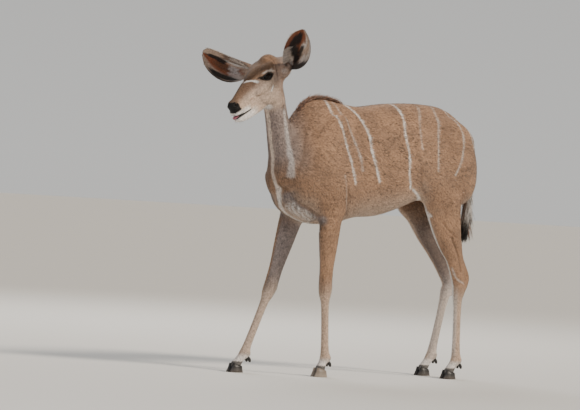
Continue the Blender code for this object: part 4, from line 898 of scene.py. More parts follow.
def body_marks(points, normals):
    """Marks of trunk, neck and legs: stripes, dark ridge, pale legs and belly, with painted light and shade.
    """
    x, y, z = points.T
    side = np.abs(y)
    outward = normals[:, 1] * np.sign(y)
    wander = 0.0016 * ripple(points, 0.02)
    marks = {name: np.zeros(len(points)) for name in MARKS}
    for number, (strength, knots) in enumerate(STRIPES):
        shift = np.where(y > 0, STRIPE_SHIFT * (-1) ** number, 0.0)
        distance = from_curve(points - np.stack((shift, 0 * x, 0 * x), 1), knots) + wander
        streak = strength * ramp(STRIPE_HALF + 0.0035, STRIPE_HALF - 0.002, distance)
        deepen(marks, "white", streak * (0.82 + 0.30 * ripple(points, 0.028, number)) * ramp(0.82, 0.86, z))

    # White edge down the front of the hind legs, fainter on the far leg as painted shade
    lead = -0.79 * normals[:, 0] + 0.62 * normals[:, 1]
    edge = ramp(0.58, 0.80, lead + 20 * wander) * ramp(0.82, 0.76, z) * ramp(0.10, 0.20, z) * (x > 0.45)
    deepen(marks, "white", np.where(y < 0, 0.85, 0.45) * edge)

    # Grey neck and inner legs, pale shanks and underside
    leg = ramp(0.80, 0.66, z) * ramp(0.15, -0.45, outward)
    neck = ramp(-0.10, -0.21, x) * ramp(0.86, 1.0, z)
    shank = ramp(0.46, 0.34, z)
    marks["grey"] = np.maximum(leg * 0.9, neck * 0.75)
    marks["pale"] = np.maximum(0.70 * shank, 0.6 * ramp(0.2, 0.9, -normals[:, 2]) * ramp(0.60, 0.70, z))

    # Pale crest of the chest, partly pale hair and partly painted sunlight along the ridge, then the drawn
    # lines and the brisket
    keel = ramp(0.1, 0.6, -0.8 * normals[:, 0] - 0.6 * normals[:, 2]) * (x < 0.0)
    off = np.abs(y - np.interp(z, (0.70, 0.76, 0.83, 0.90), (0.0, -0.012, -0.034, -0.004)))
    crest = keel * ramp(0.015, 0.006, off + wander) * ramp(0.64, 0.69, z) * ramp(1.22, 1.15, z)
    deepen(marks, "pale", crest)
    deepen(marks, "white", (0.16 + 0.44 * ramp(0.88, 0.78, z)) * crest)
    for name, strength, half, which, knots in LINES:
        line = ramp(1.3 * half, 0.4 * half, from_curve(points, knots) + wander) * (y * which >= 0)
        deepen(marks, name, strength * line)
    brisket = ramp(0.026, 0.008, from_curve(points, BRISKET)) * ramp(0.2, 0.5, outward)
    deepen(marks, "white", 0.60 * brisket * ramp(-0.4, 0.4, ripple(points, 0.006)))

    # White of the shanks, the pasterns and the inside of the hind legs
    front = ramp(0.2, 0.7, -normals[:, 0]) * (x > 0.5) + ramp(0.2, 0.7, normals[:, 0]) * (x < 0.2)
    inside = ramp(-0.2, -0.7, outward) * ramp(0.50, 0.38, z) * (x > 0.4)
    deepen(marks, "white", 0.35 * shank * front * ramp(0.08, 0.14, z), 0.75 * ramp(0.092, 0.066, z + wander),
           0.28 * inside)

    # Black over the hooves and round the dewclaws
    coronet = ramp(0.0100, 0.0055, np.abs(z - 0.0425)) + ramp(0.042, 0.036, z)
    spur = ramp(0.020, 0.010, np.abs(z - 0.068)) * ramp(0.3, 0.8, normals[:, 0])
    deepen(marks, "black", 0.85 * np.clip(coronet, 0, 1), 0.75 * spur)

    # Darker hair: ridge of the back, belly, nape and knees. Painted shade: far shoulder, inner thighs, folds
    # and chest front. Both on the neck's side
    ridge = ramp(0.011, 0.004, side + wander) * ramp(0.5, 0.9, normals[:, 2]) * (z > 1.1)
    belly = ramp(0.045, 0.018, side) * ramp(0.5, 0.9, -normals[:, 2]) * (z > 0.6) * (x > 0.05)
    nape = ramp(0.030, 0.012, side) * ramp(0.2, 0.7, normals[:, 0]) * (z > 1.08) * (x < -0.14)
    # Darker hair and painted shade together: a banded dark strip down the side of the neck's base
    neck_side = ramp(-0.225, -0.195, x) * ramp(-0.06, -0.12, x) * ramp(0.84, 0.95, z) * ramp(1.24, 1.14, z)
    bands = 0.5 + 0.5 * ripple(points * (1.0, 1.0, 0.25), 0.018)
    # Painted shade over the far (right) side of the shoulder and chest
    far_shoulder_shade = ramp(0.008, 0.020, y) * ramp(-0.02, -0.08, x) * ramp(1.12, 1.02, z) * ramp(0.60, 0.70, z)
    # Painted shade on the inner faces of the hind legs, darkest up the thighs
    groin_shade = ramp(-0.1, -0.6, outward) * (0.40 + 0.60 * ramp(0.40, 0.56, z)) * ramp(0.06, 0.14, z) * (x > 0.4)
    # Painted shade in the folds and grooves of the skin, deepening their real shadow
    crease_shade = np.clip(sum(folds_at(points, 0.6)), 0, 1)
    # Painted shade on the front of the chest under the neck
    under = ramp(0.02, -0.08, x) * ramp(1.00, 0.90, z) * ramp(0.68, 0.76, z)
    knee = ramp(0.05, 0.02, np.abs(z - 0.41)) * ramp(0.2, 0.8, -normals[:, 0]) * (x < 0.3)
    deepen(marks, "dark", 0.80 * ridge * ramp(-0.16, -0.12, x), 0.45 * belly, 0.40 * nape,
           0.50 * neck_side * bands, 0.48 * far_shoulder_shade * (1 - crest), 0.58 * groin_shade, 0.55 * crease_shade,
           0.26 * under * (1 - crest), 0.30 * knee)
    mane = ramp(0.016, 0.006, side) * ramp(0.14, 0.08, x) * ramp(1.16, 1.21, z) * (x > -0.18)
    deepen(marks, "rust", 0.30 * mane)
    return marks


def head_marks(points):
    """Marks of the head: dark brow, white chevron and lips, pale cheeks, black nose."""
    s, v, h = in_head(points).T
    side = np.abs(v)
    folded = np.stack((s, side, h), 1)
    slant = s + 1.03 * side
    rough = ripple(points, 0.012, 1.0)
    wander = 0.0015 * rough
    low, high = (np.interp(s, [row[0] for row in MOUTH], [row[k] for row in MOUTH]) for k in (1, 2))
    marks = {name: np.zeros(len(points)) for name in MARKS}
    muzzle = ramp(0.262, 0.292, s)
    marks["grey"] = 0.50 * ramp(0.03, -0.02, h) * (1 - 0.5 * muzzle) * (1 - 0.35 * rough)
    marks["pale"] = 0.80 * ramp(0.015, -0.03, h) * ramp(0.08, 0.15, s)

    # Brow down to a brim over the eye, bridge of the nose, temple and poll
    brim = np.interp(s, (0.060, 0.079, 0.091, 0.115, 0.140, 0.200),
                     (0.016, -0.004, -0.002, 0.021, 0.024, 0.018))
    brow = ramp(0.048, 0.068, s) * ramp(0.220, 0.212, slant) * ramp(0.0, 0.008, h - brim + wander)
    bridge = ramp(0.213, 0.230, slant) * ramp(-0.020, 0.012, h + wander)
    temple = from_curve(folded, ((0.044, 0.022), (0.068, -0.004), (0.084, -0.037)))
    temple = ramp(0.0060, 0.0025, temple) * (side > 0.03)
    poll = ramp(0.065, 0.045, s) * ramp(-0.02, 0.0, h)
    deepen(marks, "dark", (0.50 + 0.45 * ramp(0.160, 0.212, slant)) * brow, 0.62 * bridge, 0.55 * temple,
           0.32 * poll)

    # Pale arc over the eye, white chevron between the eyes, spots and the fleck of the cheek
    arc = ramp(0.0045, 0.0020, np.abs(h - brim + 0.003)) * ramp(0.080, 0.090, s) * ramp(0.146, 0.136, s)
    arc = arc * (side > 0.04)
    chevron = ramp(0.0052, 0.0024, np.abs(slant - 0.221) + wander) * ramp(0.001, 0.005, side)
    chevron = chevron * ramp(0.055, 0.046, side) * ramp(-0.006, 0.004, h)
    lean = 0.863 * (s - 0.140) - 0.506 * (h + 0.064)
    off = 0.506 * (s - 0.140) + 0.863 * (h + 0.064)
    fleck = ramp(1.2, 0.7, np.hypot(lean / 0.018, off / 0.0036)) * (side > 0.02)
    deepen(marks, "pale", 0.90 * arc)
    deepen(marks, "white", 0.95 * chevron, 0.35 * arc, fleck)
    for strength, centre, radii in FACE_SPOTS:
        deepen(marks, "white", strength * spot(folded, centre, radii))

    # Lips and chin, and the rusty crease along the jaw
    lips = ramp(0.262, 0.285, s) * ramp(0.030, 0.014, h - high + wander)
    chin = ramp(0.225, 0.290, s) * ramp(low + 0.001, low - 0.003, h)
    deepen(marks, "white", 0.85 * lips, 0.85 * chin)
    crease = np.abs(h + 0.037 + 0.235 * np.clip(0.246 - s, 0, 1)) + wander
    crease = ramp(0.0040, 0.0015, crease) * ramp(0.165, 0.185, s) * ramp(0.275, 0.250, s)
    marks["rust"] = 0.40 * crease * ramp(-0.3, 0.5, np.sin(s * 160))

    # Black nose, line of the mouth, tear duct and rims of the eyes
    nose = ramp(0.0, 0.005, s - 0.325 + 0.55 * np.clip(side - 0.010, 0, 0.02)) * ramp(-0.040, -0.034, h)
    line = ramp(0.0042, 0.0022, np.abs(h - (low + high) / 2) - (high - low) / 2) * ramp(0.268, 0.276, s)
    duct = spot(folded, (0.160, 0.047, 0.013), (0.012, 0.02, 0.0035))
    liner = 0.0
    for which in (1, -1):
        forward, upward, _ = eye_axes(which)
        offset = points - mirrored(EYE_PLACE, which)
        near = ramp(0.045, 0.040, np.linalg.norm(offset, axis=1))
        rim = almond(0.82 * (offset @ forward), offset @ upward)
        liner = np.maximum(liner, near * ramp(0.0046, 0.0022, rim))
    deepen(marks, "black", nose, 0.95 * line * (side > 0.004), 0.9 * duct, 0.95 * liner)
    for name in ("white", "grey", "dark", "pale", "rust"):
        marks[name] = marks[name] * (1 - liner)
    return marks


def hide_marks(points, normals):
    """Marks of the whole hide, blended over the throat."""
    head = ramp(-0.015, 0.030, above_cut(points))
    of_body, of_head = body_marks(points, normals), head_marks(points)
    return {name: np.clip(of_body[name] * (1 - head) + of_head[name] * head, 0, 1) for name in MARKS}


def bones():
    """Lines along the body that the hair lies along: start, end, girth, lie."""
    lines = [(head_point(0.35, 0, -0.04), head_point(0.02, 0, -0.03), 0.045, -ALONG),
             (np.array((-0.300, 0, 1.34)), np.array((-0.215, 0, 1.02)), 0.060, np.array((0.25, 0, -1.0))),
             (np.array((-0.170, 0, 0.98)), np.array((-0.110, 0, 0.78)), 0.100, np.array((0.35, 0, -1.0))),
             (np.array((-0.100, 0, 1.02)), np.array((0.840, 0, 1.05)), 0.150, np.array((1.0, 0, -0.34))),
             (np.array((0.905, 0, 1.05)), np.array((0.890, 0, 0.72)), 0.012, np.array((0, 0, -1.0)))]
    for y, joints in STANCE.values():
        for (x0, z0), (x1, z1) in zip(joints, joints[1:]):
            start, end = np.array((x0, y, z0)), np.array((x1, y, z1))
            lines.append((start, end, 0.045 if z0 > 0.6 else 0.022, end - start))
    return lines


def lie_of_hair(points, normals):
    """Direction of the hair at points of the hide."""
    total = np.zeros_like(points)
    for start, end, girth, lie in bones():
        bone = end - start
        t = np.clip((points - start) @ bone / (bone @ bone), 0, 1)
        away = np.linalg.norm(points - start - t[:, None] * bone, axis=1) - girth
        total += np.exp(-np.clip(away, -0.05, 1) / 0.03)[:, None] * unit(lie)
    total -= normals * (total * normals).sum(1)[:, None]
    return unit(total)


def hex_linear(code):
    """A colour written as an sRGB hex value, turned to linear."""
    channels = [int(code[i:i + 2], 16) / 255 for i in (1, 3, 5)]
    return tuple(c / 12.92 if c <= 0.04045 else ((c + 0.055) / 1.055) ** 2.4 for c in channels) + (1.0,)


def add(tree, kind, inputs=(), **settings):
    """Adds a node with its settings; each input takes a value or the socket that feeds it."""
    made = tree.nodes.new(kind)
    for name, value in settings.items():
        setattr(made, name, value)
    for key, value in dict(inputs).items():
        if isinstance(value, bpy.types.NodeSocket):
            tree.links.new(value, made.inputs[key])
        else:
            made.inputs[key].default_value = value
    return made


def new_material(name):
    """An empty node material and its shader."""
    material = bpy.data.materials.new(name)
    material.use_nodes = True
    return material, material.node_tree, material.node_tree.nodes["Principled BSDF"]


def hair_material(name, roughness, bump):
    """Short matt hair, fawn where no mark lies.

    Marks and the tone of each tuft come as attributes, so that locks of one tone lie beside each other as
    in a real coat, and every stripe has the ragged edge of hair.
    """
    material, tree, shader = new_material(name)
    place = add(tree, "ShaderNodeTexCoord").outputs["Object"]
    # Two fawns drift into each other over the body, as on a coat bleached by the sun
    patch = add(tree, "ShaderNodeTexNoise", {"Vector": place, "Scale": 1 / FAWN_PATCH, "Detail": 3.0})
    share = add(tree, "ShaderNodeMapRange", {"Value": patch.outputs["Fac"], "From Min": 0.35,
                                             "From Max": 0.65}).outputs["Result"]
    colour = add(tree, "ShaderNodeMix", {0: share, 6: hex_linear("#a17e62"), 7: hex_linear("#8b6d56")},
                 data_type="RGBA").outputs[2]
    # The dark mark holds darker hair and painted shade; the white and pale marks hold some painted light as
    # well
    coats = (("grey", "#8a7f7b"), ("pale", "#c2ab98"), ("rust", "#7a4022"), ("dark", "#4a3424"),
             ("white", "#dedad6"), ("black", "#0d0a09"))
    for mark, code in coats:
        amount = add(tree, "ShaderNodeAttribute", attribute_name=mark).outputs["Fac"]
        colour = add(tree, "ShaderNodeMix", {0: amount, 6: colour, 7: hex_linear(code)},
                     data_type="RGBA").outputs[2]
    # Flecks and the tufts' own tones break the colour up into hair
    fleck = add(tree, "ShaderNodeTexNoise", {"Vector": place, "Scale": 1 / HAIR_FLECK, "Detail": 4.0})
    fleck = add(tree, "ShaderNodeMapRange", {"Value": fleck.outputs["Fac"], "From Min": 0.33,
                                             "From Max": 0.67, "To Min": 0.78,
                                             "To Max": 1.22}).outputs["Result"]
    tone = add(tree, "ShaderNodeAttribute", attribute_name="tone").outputs["Fac"]
    light = add(tree, "ShaderNodeMath", {0: tone, 1: fleck}, operation="ADD").outputs["Value"]
    grey = add(tree, "ShaderNodeCombineColor", {0: light, 1: light, 2: light}).outputs["Color"]
    colour = add(tree, "ShaderNodeMix", {0: 1.0, 6: colour, 7: grey}, data_type="RGBA",
                 blend_type="MULTIPLY").outputs[2]
    tree.links.new(colour, shader.inputs["Base Color"])
    # A little sheen lights the coat's edge against the light
    shader.inputs["Roughness"].default_value = roughness
    shader.inputs["Specular IOR Level"].default_value = 0.25
    shader.inputs["Sheen Weight"].default_value = 0.12
    shader.inputs["Sheen Roughness"].default_value = 0.5
    if bump:
        # Strands in relief keep the skin from looking smooth where it shows between the tufts
        strands = add(tree, "ShaderNodeTexNoise", {"Vector": place, "Scale": 1 / HAIR_STRAND, "Detail": 2.0})
        relief = add(tree, "ShaderNodeBump", {"Strength": 0.5, "Distance": bump,
                                              "Height": strands.outputs["Fac"]}).outputs["Normal"]
        tree.links.new(relief, shader.inputs["Normal"])
    return material


def eye_material():
    """Wet cornea over a near-black brown iris with a level slit of pupil.

    Its smooth surface mirrors the lights as small sharp glints, which makes the eye look alive.
    """
    material, tree, shader = new_material("wet eyeball")
    place = add(tree, "ShaderNodeAttribute", attribute_name="iris").outputs["Fac"]
    colour = add(tree, "ShaderNodeMix", {0: place, 6: hex_linear("#050403"), 7: hex_linear("#170d08")},
                 data_type="RGBA").outputs[2]
    tree.links.new(colour, shader.inputs["Base Color"])
    shader.inputs["Roughness"].default_value = 0.04
    shader.inputs["IOR"].default_value = 1.376
    shader.inputs["Specular IOR Level"].default_value = 0.25
    return material


def horn_material(name, dark, light, dust):
    """Hoof horn, grown in rings and worn by the ground.

    The rings catch the light as fine ridges round the claw, and dust pales it unevenly towards the sole.
    """
    material, tree, shader = new_material(name)
    place = add(tree, "ShaderNodeTexCoord").outputs["Object"]
    height = add(tree, "ShaderNodeSeparateXYZ", {"Vector": place}).outputs["Z"]
    rings = add(tree, "ShaderNodeTexWave", {"Vector": place, "Scale": 1 / HORN_RING, "Distortion": 1.5,
                                            "Detail": 2.0}, bands_direction="Z").outputs["Fac"]
    scuff = add(tree, "ShaderNodeTexNoise", {"Vector": place, "Scale": 1 / HORN_SCUFF, "Detail": 3.0})
    low = add(tree, "ShaderNodeMapRange", {"Value": height, "From Min": 0.022, "From Max": 0.0})
    dusty = add(tree, "ShaderNodeMath", {0: low.outputs["Result"], 1: scuff.outputs["Fac"]},
                operation="MULTIPLY").outputs["Value"]
    colour = add(tree, "ShaderNodeMix", {0: rings, 6: hex_linear(dark), 7: hex_linear(light)},
                 data_type="RGBA").outputs[2]
    colour = add(tree, "ShaderNodeMix", {0: dusty, 6: colour, 7: hex_linear(dust)},
                 data_type="RGBA").outputs[2]
    tree.links.new(colour, shader.inputs["Base Color"])
    shader.inputs["Roughness"].default_value = 0.42
    relief = add(tree, "ShaderNodeBump", {"Strength": 0.4, "Distance": 0.0006, "Height": rings})
    tree.links.new(relief.outputs["Normal"], shader.inputs["Normal"])
    return material


def plain_material(name, code, roughness, coat):
    """Bare skin, moist from within.

    A fine grain breaks up its colour and its highlights, and the thin wet coat adds a sharper shine.
    """
    material, tree, shader = new_material(name)
    place = add(tree, "ShaderNodeTexCoord").outputs["Object"]
    grain = add(tree, "ShaderNodeTexNoise", {"Vector": place, "Scale": 1 / SKIN_GRAIN, "Detail": 3.0})
    grain = grain.outputs["Fac"]
    darker = tuple(0.6 * c for c in hex_linear(code)[:3]) + (1.0,)
    colour = add(tree, "ShaderNodeMix", {0: grain, 6: darker, 7: hex_linear(code)},
                 data_type="RGBA").outputs[2]
    tree.links.new(colour, shader.inputs["Base Color"])
    shader.inputs["Roughness"].default_value = roughness
    shader.inputs["Coat Weight"].default_value = coat
    relief = add(tree, "ShaderNodeBump", {"Strength": 0.3, "Distance": 0.0004, "Height": grain})
    tree.links.new(relief.outputs["Normal"], shader.inputs["Normal"])
    return material


SHIFT = np.array(sum(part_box("eye_left"), Vector())) / 2 - mirrored(EYE_PLACE, 1)


def placed(name, data):
    """An object that shows the data, in the scene."""
    made = bpy.data.objects.new(name, data)
    bpy.context.scene.collection.objects.link(made)
    return made


def piece(name, points, faces, material, attributes=(), uv=None):
    """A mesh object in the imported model's frame, riding on the body."""
    mesh = bpy.data.meshes.new(name)
    mesh.vertices.add(len(points))
    mesh.vertices.foreach_set("co", (np.asarray(points) + SHIFT).ravel())
    faces = np.asarray(faces, np.int32)
    size = faces.shape[1]
    mesh.loops.add(faces.size)
    mesh.loops.foreach_set("vertex_index", faces.ravel())
    mesh.polygons.add(len(faces))
    mesh.polygons.foreach_set("loop_start", np.arange(0, faces.size, size, dtype=np.int32))
    mesh.update(calc_edges=True)
    for label, values in dict(attributes).items():
        held = mesh.attributes.new(label, "FLOAT", "POINT").data
        held.foreach_set("value", np.asarray(values, np.float32))
    if uv is not None:
        layer = mesh.uv_layers.new(name="OFBake")
        layer.uv.foreach_set("vector", np.asarray(uv, np.float32)[faces.ravel()].ravel())
    mesh.shade_smooth()
    mesh.materials.append(material)
    made = placed(name, mesh)
    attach(made, "root")
    return made


def hairs(paths, widths, ups, taper, flatness=0.22):
    """Points and triangles of solid three-sided hairs, and how many points each has.

    The paths give each hair's places from root to tip.
    """
    count, places = paths.shape[:2]
    ahead = unit(paths[:, -1] - paths[:, 0])
    side = unit(np.cross(ahead, ups))
    rings = []
    for k in range(places - 1):
        half = (widths * taper[k] / 2)[:, None]
        place = paths[:, k]
        rings += [place - side * half, place + side * half, place + ups * half * flatness * 2]
    points = np.stack(rings + [paths[:, -1]], 1)
    each = 3 * (places - 1) + 1
    faces = [(0, 2, 1)]
    for k in range(places - 2):
        for j in range(3):
            a, b = 3 * k + j, 3 * k + (j + 1) % 3
            faces += [(a, b, b + 3), (a, b + 3, a + 3)]
    last = 3 * (places - 2)
    faces += [(last, last + 1, each - 1), (last + 1, last + 2, each - 1), (last + 2, last, each - 1)]
    faces = (np.array(faces)[None] + each * np.arange(count)[:, None, None]).reshape(-1, 3)
    return points.reshape(-1, 3), faces, each


def patches(roots_uv, each):
    """Each hair's patch of the unwrap, 0.003 across, at its root's place."""
    k = np.arange(each)
    corner = np.stack((k // 3 / max(each // 3, 1), (k % 3) / 2), 1) * 0.003
    inside = 0.003 + np.clip(roots_uv, 0, 1) * 0.990
    return (inside[:, None] + corner[None]).reshape(-1, 2)


def spread_over(points, faces, weight, count, draw):
    """Random places on triangles, as their faces' numbers and three shares."""
    a, b, c = (points[faces[:, k]] for k in range(3))
    area = np.linalg.norm(np.cross(b - a, c - a), axis=1) / 2 * weight
    total = np.cumsum(area)
    wanted = (np.arange(count) + draw.random(count)) / count * total[-1]
    chosen = np.clip(np.searchsorted(total, wanted), 0, len(faces) - 1)
    first, second = draw.random((2, count))
    over = first + second > 1
    first[over], second[over] = 1 - first[over], 1 - second[over]
    return chosen, np.stack((1 - first - second, first, second), 1)


def blended(values, faces, chosen, shares):
    """Values at places on triangles."""
    corners = values[faces[chosen]]
    return np.einsum("nk,nk...->n...", shares, corners)


def locks(roots, lie, across):
    """Tone of the lock that each hair belongs to, long along the lie of the hair."""
    row = np.floor((roots * across).sum(1) / LOCK_WIDTH)
    place = np.floor((roots * lie).sum(1) / LOCK_LENGTH + 0.37 * row)
    share = np.sin(row * 12.9898 + place * 78.233) * 43758.5453
    return LOCK_TONE * (2 * (share - np.floor(share)) - 1)


def make_coat(name, hide, kept, chart, material, draw):
    """One piece of the short coat over the kept triangles."""
    faces, points = hide["faces"][kept], hide["points"]
    middle = hide["length"][faces].mean(1)
    a, b, c = (points[faces[:, k]] for k in range(3))
    area = np.linalg.norm(np.cross(b - a, c - a), axis=1) / 2
    weight = hide["thick"] / (middle * (0.0008 + 0.13 * middle))
    count = int(min((area * weight).sum(), TUFT_LIMIT))
    chosen, shares = spread_over(points, faces, weight, count, draw)
    roots = blended(points, faces, chosen, shares)
    normals = unit(blended(hide["normals"], faces, chosen, shares))
    lie = unit(blended(hide["lie"], faces, chosen, shares))
    usual = blended(hide["length"], faces, chosen, shares)
    across = np.cross(normals, lie)
    tones = locks(roots, lie, across)
    lie = unit(lie + across * draw.normal(0, 0.13, (count, 1)))
    long = usual * draw.uniform(0.7, 1.25, count)
    lift = draw.uniform(0.03, 0.17, count)[:, None]
    tip = roots + long[:, None] * (lie * np.sqrt(1 - lift ** 2) + normals * lift)
    width = TUFT_SLIM * (0.0016 + 0.26 * usual * draw.uniform(0.45, 0.8, count))
    paths = np.stack((roots - normals * TUFT_ROOT, tip), 1)
    shape, triangles, each = hairs(paths, width, normals, (1.0,))
    marks = {label: np.repeat(blended(hide["marks"][label], faces, chosen, shares), each) for label in MARKS}
    marks["tone"] = np.repeat(draw.normal(0, 0.15, count) + tones, each)
    piece(name, shape, triangles, material, marks, patches(chart(roots), each))


def angle_chart(axis, centre, reach):
    """An unwrap round an axis: how far along it, and the angle round it."""
    def place(points):
        offset = points - np.array(centre)
        along = (points[:, axis] - reach[0]) / (reach[1] - reach[0])
        others = [k for k in range(3) if k != axis]
        turn = np.arctan2(offset[:, others[0]], offset[:, others[1]]) / math.tau + 0.5
        return np.stack((along, turn), 1)
    return place


def head_chart(points):
    """An unwrap of the head round its own axis."""
    s, v, h = in_head(points).T
    return np.stack(((s + 0.06) / 0.42, np.arctan2(v, h + 0.045) / math.tau + 0.5), 1)


def grow(name, roots, aims, ups, lengths, width, marks, material, draw,
         bend=0.25, places=4, chart=None, flatness=0.3):
    """Longer hair: tapered strands that leave their roots along the aims and bend towards the ups."""
    count = len(roots)
    t = np.linspace(0, 1, places)
    paths = (roots[:, None] + (aims * lengths[:, None])[:, None] * t[:, None]
             + (ups * (lengths * bend)[:, None])[:, None] * (t ** 2)[:, None])
    normal = unit(draw.normal(0, 0.25, (count, 3)) + ups)
    taper = 1.0 - 0.75 * t ** 1.6
    shape, triangles, each = hairs(paths, np.full(count, width), normal, taper, flatness)
    values = {label: np.repeat(np.broadcast_to(marks.get(label, 0.0), count), each) for label in MARKS}
    values["tone"] = np.repeat(draw.normal(0, 0.28, count), each)
    chart = chart or angle_chart(0, (0.3, 0, 1.0), (-0.4, 1.0))
    piece(name, shape, triangles, material, values, patches(chart(roots), each))


def on_hide(hide, where, count, draw):
    """Places on the hide where a share per triangle says so, with their normals and lie."""
    faces = hide["faces"]
    weight = where(hide["points"][faces].mean(1))
    keep = weight > 0
    chosen, shares = spread_over(hide["points"], faces[keep], weight[keep], count, draw)
    roots = blended(hide["points"], faces[keep], chosen, shares)
    normals = unit(blended(hide["normals"], faces[keep], chosen, shares))
    lie = unit(blended(hide["lie"], faces[keep], chosen, shares))
    return roots, normals, lie


def on_withers(p):
    """Share of the mane at places on the hide."""
    return (ramp(0.013, 0.004, np.abs(p[:, 1])) * ramp(1.17, 1.20, p[:, 2]) * (p[:, 0] > -0.16)
            * ramp(0.13, 0.02, p[:, 0]))


def on_nape(p):
    """Share of the nape's hair at places on the hide."""
    return (ramp(0.022, 0.008, np.abs(p[:, 1])) * (p[:, 0] > -0.25) * (p[:, 0] < -0.14)
            * ramp(1.10, 1.13, p[:, 2]) * ramp(1.30, 1.24, p[:, 2]))


def on_crest(p):
    """Share of the back's low crest at places on the hide."""
    return ramp(0.011, 0.004, np.abs(p[:, 1])) * (p[:, 0] > 0.05) * (p[:, 2] > 1.12) * (p[:, 0] < 0.84)


def on_lips(p):
    """Where bristles grow on lips and chin."""
    s, _, h = in_head(p).T
    return (s > 0.290) * (h < -0.030) * (above_cut(p) > 0.0)


def make_mane(hide, material, draw):
    """Mane of the withers, hair of the nape and the low crest along the back."""
    roots, normals, lie = on_hide(hide, on_withers, MANE_HAIRS, draw)
    rise = ramp(-0.15, -0.05, roots[:, 0]) * ramp(0.13, 0.05, roots[:, 0])
    length = (0.018 + 0.030 * rise) * draw.uniform(0.6, 1.2, MANE_HAIRS)
    aims = unit(lie + normals * (0.42 + 0.30 * draw.random(MANE_HAIRS))[:, None]
                + draw.normal(0, 0.14, roots.shape))
    shade = draw.random(MANE_HAIRS)
    marks = {"rust": 0.55 * ramp(0.2, 0.5, shade), "dark": 0.9 * ramp(0.35, 0.2, shade),
             "pale": 0.8 * ramp(0.75, 0.85, shade)}
    grow("mane_withers", roots - normals * HAIR_ROOT, aims, -normals, length, 0.0020, marks,
         material, draw, bend=0.20)

    roots, normals, lie = on_hide(hide, on_nape, NAPE_HAIRS, draw)
    aims = unit(lie + normals * 0.45 + draw.normal(0, 0.14, roots.shape))
    length = 0.017 * draw.uniform(0.7, 1.2, NAPE_HAIRS)
    marks = {"rust": draw.uniform(0.1, 0.45, NAPE_HAIRS), "pale": 0.4}
    grow("hair_nape", roots - normals * HAIR_ROOT, aims, -normals, length, 0.0018, marks,
         material, draw, chart=angle_chart(2, (-0.22, 0, 1.2), (1.0, 1.4)))

    roots, normals, lie = on_hide(hide, on_crest, CREST_HAIRS, draw)
    aims = unit(lie + normals * 0.28 + draw.normal(0, 0.10, roots.shape))
    pale = (draw.random(CREST_HAIRS) < 0.45).astype(float)
    length = 0.016 * draw.uniform(0.7, 1.2, CREST_HAIRS)
    marks = {"white": 0.55 * pale, "dark": 0.7 * (1 - pale)}
    grow("crest_back", roots - normals * HAIR_ROOT, aims, -normals, length, 0.0019, marks,
         material, draw, places=3)


def make_tail_hair(material, draw):
    """Long hair of the tail: pale at the sides, black below, with orange tips."""
    rows = smooth_rows(TAIL, TAIL_STEPS)
    rows = rows[rows[:, 1] < 1.10]
    count = TAIL_HAIRS
    place = draw.integers(0, len(rows) - 1, count)
    in_brush = draw.random(count) < 0.35
    place = np.where(in_brush, len(rows) - 1 - draw.integers(0, TAIL_STEPS, count), place)
    x, z, depth, half = rows[place].T
    angle = draw.uniform(0, math.tau, count)
    out = np.stack((np.cos(angle), np.sin(angle), np.zeros(count)), 1)
    side = np.abs(out[:, 1])
    height = z + draw.uniform(-0.006, 0.006, count)
    roots = np.stack((x + 0.7 * depth * out[:, 0], 0.75 * half * out[:, 1], height), 1)
    low = ramp(1.02, 0.80, z)
    swung = draw.random(count) < 0.16
    down = np.stack((np.where(swung, 0.22, -0.13) * low, 0 * z, -1 + 0 * z), 1)
    aims = unit(down + out * np.array((0.14, 0.26, 0)) + draw.normal(0, 0.05, (count, 3)))
    length = (0.030 + 0.075 * low) * draw.uniform(0.75, 1.15, count)
    down_to_end = z - TAIL_HAIR_END - draw.uniform(0, 0.012, count)
    length = np.where(z - length < TAIL_HAIR_END, down_to_end, length)
    tip = z - 0.3 * length
    black = ramp(0.775, 0.740, tip + draw.normal(0, 0.012, count)) * ~(swung & (tip < 0.74))
    marks = {"white": (1 - black) * ramp(0.2, 0.8, side) * ramp(0.72, 0.80, z) * 0.85,
             "black": black * 0.96, "rust": (1 - black) * ramp(0.76, 0.72, tip) * 0.8,
             "grey": 0.3, "dark": 0.25 * (1 - side)}
    grow("tail_hair", roots, aims, -out, length, 0.0024, marks, material, draw,
         bend=0.10, chart=angle_chart(2, (0.9, 0, 0.9), (0.6, 1.15)))


def make_ear_hair(material, draw):
    """Hair inside the ears: a pale comb over the front edge and a soft fringe round the rim."""
    roots, aims, ups, lengths, white = [], [], [], [], []
    for which in EARS:
        inner = ear_grid(which)[1]
        last_row, last_column = inner.shape[0] - 1, inner.shape[1] - 1
        middle = inner.mean(1)
        for number in range(EAR_HAIRS):
            fringe = number % 3 == 0
            place = draw.uniform(0.20, 0.86 if fringe else 0.47) * last_row
            share = draw.uniform(0.90, 0.99) if fringe else draw.uniform(0.50, 0.97)
            side = draw.choice((-1, 1)) if fringe else -1
            row, column = int(place), int((side * share + 1) / 2 * last_column)
            step = inner[row + 1, column] - inner[row, column]
            root = inner[row, column] + step * (place - row)
            along = unit(step)
            inward = unit(middle[row] - root)
            if fringe:
                aim = unit(0.8 * along - 0.35 * inward + draw.normal(0, 0.15, 3))
                length = draw.uniform(0.007, 0.014)
            else:
                aim = unit(0.55 * along + 0.9 * inward + draw.normal(0, 0.10, 3))
                length = draw.uniform(0.014, 0.026)
            roots.append(root)
            aims.append(aim)
            ups.append(along)
            lengths.append(length)
            white.append(draw.uniform(0.25, 0.75))
    grow("hair_ears", np.array(roots), np.array(aims), np.array(ups), np.array(lengths), 0.0010,
         {"white": np.array(white), "pale": 0.6}, material, draw, bend=0.2, flatness=0.5,
         chart=head_chart)


def ring_quads(rings, around, start=0):
    """Quads between the rings of a tube whose points are numbered from the start."""
    i, j = np.meshgrid(np.arange(rings - 1), np.arange(around), indexing="ij")
    p, q = start + i * around + j, start + i * around + (j + 1) % around
    return np.stack((p, q, q + around, p + around), -1).reshape(-1, 4)


def angles(around):
    """Angles evenly spread over a full turn."""
    return np.arange(around) / around * math.tau


